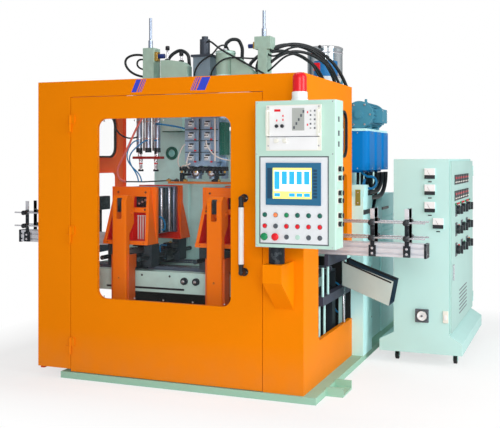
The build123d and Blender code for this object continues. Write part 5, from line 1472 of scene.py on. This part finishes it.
@dataclass
class Pendant:
    """The control pendant: panel, screen, programmer, controls and beacon."""

    face: float = -0.250
    panel: tuple[Span, Span] = ((0.795, 1.238), (1.030, 1.567))
    screen: tuple[Span, Span] = ((0.840, 1.190), (1.270, 1.527))
    programmer: tuple[Span, Span] = ((0.843, 1.193), (1.600, 1.878))
    rim: float = 0.007
    first: float = 0.832
    pitch: float = 0.0702
    rows: tuple[float, ...] = (1.209, 1.141, 1.076)
    collar: tuple[Span, ...] = ((0.0125, 0.0), (0.0152, 0.0), (0.0152, 0.002), (0.0145, 0.003),
                                (0.0125, 0.003))
    side: float = 1.281

    def make(self) -> None:
        """Dress the pendant and build its faces and controls."""
        dress(Finish.PENDANT_SHEET, "pendant_box")
        dress(Finish.BLACK_STEEL, "pendant_post")
        dress(Finish.BEZEL, "pendant_screen")
        dress(Finish.CREAM, "parison_programmer")
        dress(Finish.WHITE, "beacon")
        dress(Finish.GREEN, "start_button")
        dress(Finish.RED, "stop_button")
        dress(Finish.GREY, "mode_selector", "heater_selector", "pump_selector")
        self.panel_plate()
        self.screen_face()
        self.push_buttons()
        self.programmer_face()
        self.side_keys()
        self.lens()

    def panel_plate(self) -> None:
        """The white panel with its dark border, round the screen."""
        form = Form()
        (x0, x1), (z0, z1) = self.panel
        (sx0, sx1), (sz0, sz1) = self.screen
        y = (self.face + 0.0012, self.face + 0.0031)
        for x, z in (((x0, sx0), (z0, z1)), ((sx1, x1), (z0, z1)), ((sx0, sx1), (sz1, z1)),
                     ((sx0, sx1), (z0, sz0))):
            form.block(Finish.PANEL, x, y, z, 0.0)
        rim = (self.face - 0.0008, self.face + 0.0031)
        inner = (z0 + self.rim, z1 - self.rim)
        for x, z in (((x0, x1), (inner[1], z1)), ((x0, x1), (z0, inner[0])), ((x0, x0 + self.rim), inner),
                     ((x1 - self.rim, x1), inner)):
            form.block(Finish.GREY, x, rim, z, 0.0005)
        form.finish_as("panel_plate", "pendant")

    def screen_face(self) -> None:
        """The screen with a plain layout of fields, and the column of keys beside it."""
        form = Form()
        (x0, x1), (z0, z1) = self.screen
        back = self.face - 0.0045
        left, right, low, high = x0 + 0.0445, x1 - 0.0565, z0 + 0.0385, z1 - 0.0305
        form.block(Finish.YELLOW_SCREEN, (left, right), (back - 0.0006, back + 0.0005), (low, high), 0.0)
        inner = (left + 0.007, right - 0.007)
        form.block(Finish.WHITE_SCREEN, inner, (back - 0.0010, back), (low + 0.046, high - 0.014), 0.0)
        for column in range(5):
            x = inner[0] + 0.004 + column * 0.0475
            tall = 0.108 if column == 0 else 0.078
            y = (back - 0.0014, back)
            form.block(Finish.BLUE_SCREEN, (x, x + 0.033), y, (high - 0.022 - tall, high - 0.022), 0.0)
            if column != 1:
                form.block(Finish.BLUE_SCREEN, (x - 0.001, x + 0.036), y, (low + 0.013, low + 0.034), 0.0)
        for index in range(9):
            z = low + 0.006 + index * 0.0198
            form.block(Finish.BEZEL_DEEP, (right + 0.010, right + 0.034),
                       (self.face - 0.0105, self.face - 0.008), (z, z + 0.013), 0.001)
        form.block(Finish.BEZEL_DEEP, (x0 + 0.010, left - 0.004), (self.face - 0.0095, self.face - 0.008),
                   (low, high), 0.0006)
        form.finish_as("screen_face", "pendant")

    def push_buttons(self) -> None:
        """Coloured caps and dark collars on the panel's plain buttons."""
        layout = ("DLGDDD", "R RRRR", "   K S")
        form = Form()
        for row, z in enumerate(self.rows):
            for column, letter in enumerate(layout[row]):
                x = self.first + column * self.pitch
                kind = Operator(letter)
                if kind is Operator.KEY:
                    form.knob(Finish.GREY, (x, self.face + 0.001, z), FRONT, 0.006, 0.006)
                    continue
                form.turned(Finish.GREY, (x, self.face - 0.0018, z), self.collar, FRONT, 28)
                if kind is not Operator.BARE:
                    form.knob(kind.finish(), (x, self.face - 0.0038, z), FRONT, 0.0128, 0.0075)
                if kind is Operator.SELECTOR:
                    form.block(Finish.GREY, about(x, 0.0032), (self.face - 0.018, self.face - 0.010),
                               about(z, 0.010), 0.001)
        form.finish_as("push_button_caps", "pendant")

    def programmer_face(self) -> None:
        """The programmer's scope field, knobs, switches and dividing line."""
        form = Form()
        (x0, x1), (z0, z1) = self.programmer
        y = self.face - 0.010
        form.block(Finish.WHITE, (x0 + 0.022, x1 - 0.022), (y - 0.0016, y + 0.001),
                   (z0 + 0.006, z1 - 0.006), 0.0008)
        front = y - 0.0016
        proud = (front - 0.0022, front)
        form.block(Finish.GREY, (x0 + 0.010, x1 - 0.010), (front - 0.0010, front),
                   (z0 + 0.083, z0 + 0.0875), 0.0)
        form.block(Finish.SCOPE, (x0 + 0.168, x0 + 0.246), proud, (z0 + 0.122, z1 - 0.020), 0.001)
        for index in range(5):
            x = x0 + 0.176 + index * 0.0148
            z = z0 + 0.132 + index * 0.024
            form.block(Finish.GREY, (x, x + 0.011), (front - 0.0032, front - 0.0020), (z, z + 0.016), 0.0)
        for x in (x0 + 0.070, x0 + 0.106):
            form.knob(Finish.BLACK, (x, front, z0 + 0.150), FRONT, 0.011, 0.014)
        form.block(Finish.RED, (x0 + 0.054, x0 + 0.094), (front - 0.0012, front),
                   (z1 - 0.040, z1 - 0.026), 0.0)
        for across, up in ((0.066, 0.178), (0.106, 0.182), (0.106, 0.206), (0.262, 0.150), (0.262, 0.225)):
            x, z = x0 + across, z0 + up
            form.block(Finish.RED, (x, x + 0.008), proud, (z, z + 0.012), 0.0008)
        for column in range(2):
            for row in range(5):
                x = x0 + 0.280 + column * 0.026
                z = z0 + 0.130 + row * 0.026
                finish = Finish.GREY if (row + column) % 2 else Finish.SCOPE
                form.block(finish, (x, x + 0.010), proud, (z, z + 0.011), 0.0008)
        for x in (x0 + 0.070, x0 + 0.125):
            form.knob(Finish.CREAM, (x, self.face - 0.0298, z0 + 0.060), FRONT, 0.0136, 0.004)
        for x in (x0 + 0.014, x1 - 0.014):
            for z in (z0 + 0.030, z1 - 0.012):
                form.bolt(Finish.SILVER, (x, self.face - 0.010, z), FRONT, 0.004)
        form.finish_as("programmer_face", "pendant")

    def side_keys(self) -> None:
        """Dark selector knobs and plates on the pendant's right side, corner screws and hinge pins."""
        form = Form()
        side = self.side
        for z in (1.490, 1.436, 1.346, 1.300, 1.210, 1.159):
            form.block(Finish.CREAM, (side - 0.0004, side + 0.0012), (-0.212, -0.158), about(z, 0.021),
                       0.0005)
            form.knob(Finish.BLACK, (side + 0.0012, -0.185, z), RIGHT, 0.0156, 0.0252)
            form.block(Finish.BLACK, (side + 0.024, side + 0.033), (-0.189, -0.181), about(z, 0.014), 0.001)
        for z in (1.640, 1.705, 1.790):
            form.block(Finish.GREY, (side - 0.0004, side + 0.0016), (-0.200, -0.170), about(z, 0.016), 0.0006)
        for x in (0.780, 1.262):
            for z in (1.022, 1.580, 1.893):
                form.turned(Finish.SILVER, (x, self.face, z),
                            [(0.0, 0.0), (0.004, 0.0), (0.003, 0.002), (0.0, 0.0025)], FRONT, 12)
        for z in (1.090, 1.830):
            form.post(Finish.SILVER, 0.7665, -0.092, about(z, 0.040), 0.006, 16, 0.001)
        form.finish_as("side_keys", "pendant")

    def lens(self) -> None:
        """The beacon's red ribbed lens over its white base."""
        form = Form()
        side = [(0.0434, 0.0585)]
        for index in range(8):
            z = 0.061 + index * 0.0105
            side += [(0.0440, z), (0.0432, z + 0.005)]
        side += [(0.0434, 0.150), (0.0364, 0.1664), (0.0182, 0.1764), (0.0, 0.1784)]
        foot = (1.030, -0.170, 1.905)
        form.turned(Finish.RED, foot, side, steps=56)
        form.turned(Finish.WHITE, foot, [(0.0462, 0.018), (0.0478, 0.020), (0.0478, 0.054), (0.0462, 0.056)],
                    steps=48)
        form.finish_as("beacon_lens", "pendant")


@dataclass
class ControlCabinet:
    """The electrical cabinet on casters."""

    front: float = 1.280
    side: float = 1.744
    meters: tuple[tuple[float, float], ...] = ((1.583, 1.441), (1.583, 1.320), (1.583, 1.190), (1.645, 1.070))
    reading: float = -28.0
    dial: tuple[float, float] = (1.525, 0.373)

    def make(self) -> None:
        """Dress the cabinet and build its instruments."""
        dress(Finish.MINT_SHEET, "cabinet_body")
        dress(Finish.DOOR_SHEET, "cabinet_door")
        dress(Finish.RUBBER, *(f"caster_wheel_{index}" for index in range(1, 5)))
        self.meter_faces()
        self.front_dial()
        self.controllers()
        self.isolators()

    def meter_faces(self) -> None:
        """White meter faces with a dark foot and a needle."""
        form = Form()
        y = self.front - 0.010
        swing = Matrix.Rotation(math.radians(self.reading), 4, "Y")
        for x, z in self.meters:
            form.block(Finish.WHITE, about(x, 0.0395), (y - 0.003, y + 0.004), (z - 0.012, z + 0.0395), 0.003)
            form.block(Finish.BLACK, about(x, 0.0395), about(y, 0.004), (z - 0.0395, z - 0.012), 0.003)
            needle = Matrix.Translation((x, y - 0.0036, z - 0.010)) @ swing
            form.block(Finish.BLACK, about(0.0, 0.0008), about(0.0, 0.0004), (0.0, 0.036), 0.0, needle)
            form.block(Finish.BLACK, about(x, 0.014), (self.front - 0.003, self.front),
                       (z - 0.066, z - 0.058), 0.001)
        form.finish_as("meter_faces", "machine")

    def front_dial(self) -> None:
        """The square timer with its white dial, and the pale switch beside it."""
        form = Form()
        x, z = self.dial
        y = self.front - 0.016
        form.block(Finish.GREY, about(x, 0.050), (y, self.front + 0.001), about(z, 0.050), 0.004)
        form.turned(Finish.WHITE, (x, y, z),
                    [(0.0, 0.003), (0.030, 0.003), (0.033, 0.005), (0.036, 0.004), (0.036, 0.0)], FRONT, 40)
        form.knob(Finish.GREY, (x, y - 0.003, z), FRONT, 0.008, 0.010)
        form.block(Finish.CREAM, (x + 0.155, x + 0.195), (self.front - 0.008, self.front + 0.001),
                   about(z, 0.045), 0.003)
        form.block(Finish.WHITE, (x + 0.165, x + 0.185), (self.front - 0.014, self.front - 0.007),
                   (z - 0.020, z + 0.015), 0.002)
        form.finish_as("timer_dial", "machine")

    def controllers(self) -> None:
        """Faces, displays and keys on the temperature controllers of the door."""
        form = Form()
        x = self.side + 0.008
        for z in (1.392, 1.270):
            for index in range(8):
                y = self.front + 0.130 + index * 0.105
                form.block(Finish.BLACK, (x - 0.006, x + 0.0012), (y - 0.001, y + 0.073), about(z, 0.037),
                           0.002)
                form.block(Finish.GREY, (x, x + 0.0022), (y + 0.010, y + 0.062), (z, z + 0.026), 0.001)
                form.block(Finish.RED, (x, x + 0.0026), (y + 0.016, y + 0.056), (z + 0.006, z + 0.020), 0.0)
                for key in range(3):
                    left = y + 0.012 + key * 0.018
                    form.block(Finish.CREAM, (x, x + 0.0026), (left, left + 0.010),
                               (z - 0.024, z - 0.014), 0.001)
        form.finish_as("controller_faces", "cabinet_door")

    def isolators(self) -> None:
        """Collars, handle bars and indicator lamps on the door."""
        form = Form()
        x = self.side
        for z in (1.160, 1.010, 0.855):
            for index in range(3):
                y = self.front + 0.240 + index * 0.320
                form.block(Finish.GREY, (x - 0.001, x + 0.003), about(y, 0.052), about(z, 0.052), 0.002)
                form.rod(Finish.BLACK, (x + 0.003, y, z), (x + 0.0306, y, z), 0.0346, 32, 0.002)
                form.block(Finish.BLACK, (x + 0.030, x + 0.0526), about(y, 0.0096), about(z, 0.0306),
                           0.003)
                colour = (Finish.RED, Finish.GREEN, Finish.LAMP)[index]
                form.knob(colour, (x, y + 0.120, z + 0.020), RIGHT, 0.011, 0.012)
        for index in range(10):
            y = self.front + 0.180 + index * 0.095
            form.knob(Finish.RED if index % 3 else Finish.GREEN, (x, y, 1.205), RIGHT, 0.008, 0.010)
        form.block(Finish.SILVER, (x - 0.0005, x + 0.012), (1.330, 1.350), (0.640, 0.760), 0.003)
        for row in range(7):
            z = 0.330 + row * 0.030
            form.block(Finish.GREY, (x - 0.0005, x + 0.0016), (1.700, 2.150), (z, z + 0.010), 0.0006)
        form.finish_as("isolator_fittings", "cabinet_door")


@dataclass
class Studio:
    """Pale floor and backdrop, soft lamps and the camera of the photograph."""

    eye: Point = (2.64, -5.13, 1.55)
    heading: float = 21.34
    lens: float = 61.06
    drop: float = -0.11
    ambient: float = 0.42

    def make(self) -> None:
        """Build the studio."""
        self.floor()
        self.world()
        self.lamps()
        self.camera()

    def floor(self) -> None:
        """A pale floor that keeps the soft shadow and runs out into plain white."""
        mesh = bmesh.new()
        bmesh.ops.create_grid(mesh, x_segments=1, y_segments=1, size=30.0)
        data = bpy.data.meshes.new("studio_floor")
        mesh.to_mesh(data)
        mesh.free()
        graph = Graph("studio_floor")
        x, y, _ = graph.place()
        shade = graph.blend(graph.noise(0.4, 2.0) * 0.2, (0.93, 0.93, 0.93), (0.90, 0.90, 0.90))
        graph.shade(shade, roughness=0.9, specular_ior_level=0.1)
        diffuse = graph.output.inputs[0].links[0].from_socket
        beyond = graph.maths("MAXIMUM", (x - 0.15).size() - 1.80, (y - 1.45).size() - 1.75)
        rays = graph.node("LightPath")
        seen: Number = 0.0
        for kind in ("Is Camera Ray", "Is Glossy Ray", "Is Transmission Ray"):
            seen = Value(graph, rays.outputs[kind]) | seen
        factor = (0.66 + 0.34 * (beyond / 0.7).held()) * seen
        white = graph.node("Emission", None, {"Color": (1.0, 1.0, 1.0, 1.0), "Strength": 1.0})
        both = graph.node("MixShader", None, {0: factor, 1: diffuse, 2: white.outputs[0]})
        graph.tree.links.new(both.outputs[0], graph.output.inputs[0])
        data.materials.append(graph.material)
        made = bpy.data.objects.new("studio_floor", data)
        made.location = (0.0, 0.0, -0.0005)
        bpy.context.scene.collection.objects.link(made)

    def world(self) -> None:
        """An even surround that reads as white to the camera and in reflections."""
        world = bpy.data.worlds.new("surround")
        bpy.context.scene.world = world
        world.use_nodes = True
        tree = world.node_tree
        tree.nodes.clear()
        output = tree.nodes.new("ShaderNodeOutputWorld")
        light = tree.nodes.new("ShaderNodeLightPath")
        mix = tree.nodes.new("ShaderNodeMixShader")
        for index, strength in ((1, self.ambient), (2, 1.0)):
            plain = tree.nodes.new("ShaderNodeBackground")
            plain.inputs[0].default_value = (1.0, 1.0, 1.0, 1.0)
            plain.inputs[1].default_value = strength
            tree.links.new(plain.outputs[0], mix.inputs[index])
        tree.links.new(light.outputs["Is Camera Ray"], mix.inputs[0])
        tree.links.new(mix.outputs[0], output.inputs[0])

    def lamps(self) -> None:
        """A broad soft key from the left, a stronger fill on the right flank and a top lamp."""
        for name, place, aim, size, power in (
                ("key", (3.2, -6.0, 2.6), (0.1, 0.5, 1.1), 2.4, 190.0),
                ("right_fill", (6.5, -0.6, 3.2), (1.0, 1.2, 1.0), 2.5, 230.0),
                ("top", (0.0, 1.0, 6.0), (0.0, 1.0, 0.0), 3.0, 70.0)):
            data = bpy.data.lights.new(name, "AREA")
            data.shape = "SQUARE"
            data.size = size
            data.energy = power
            lamp = bpy.data.objects.new(name, data)
            lamp.location = place
            lamp.rotation_euler = (Vector(aim) - Vector(place)).to_track_quat("-Z", "Y").to_euler()
            bpy.context.scene.collection.objects.link(lamp)

    def camera(self) -> None:
        """The camera, at the photograph's place and lens."""
        data = bpy.data.cameras.new("camera")
        data.lens = self.lens
        data.sensor_width = 36.0
        data.shift_y = self.drop
        data.clip_end = 100.0
        made = bpy.data.objects.new("camera", data)
        made.location = self.eye
        made.rotation_euler = (math.radians(90.0), 0.0, math.radians(self.heading))
        bpy.context.scene.collection.objects.link(made)
        bpy.context.scene.camera = made


def main() -> None:
    """Dress the machine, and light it."""
    logging.basicConfig(level=logging.INFO, format="%(name)s %(message)s")
    bpy.context.scene.view_settings.view_transform = "Standard"
    Studio().make()
    Guard().make()
    Press().make()
    for side in STATION_X:
        MouldStation(side).make()
    DieHead().make()
    BlowUnits().make()
    Extruder().make()
    TakeOut().make()
    Pendant().make()
    ControlCabinet().make()
    bpy.context.view_layer.update()


if __name__ == "__main__":
    main()
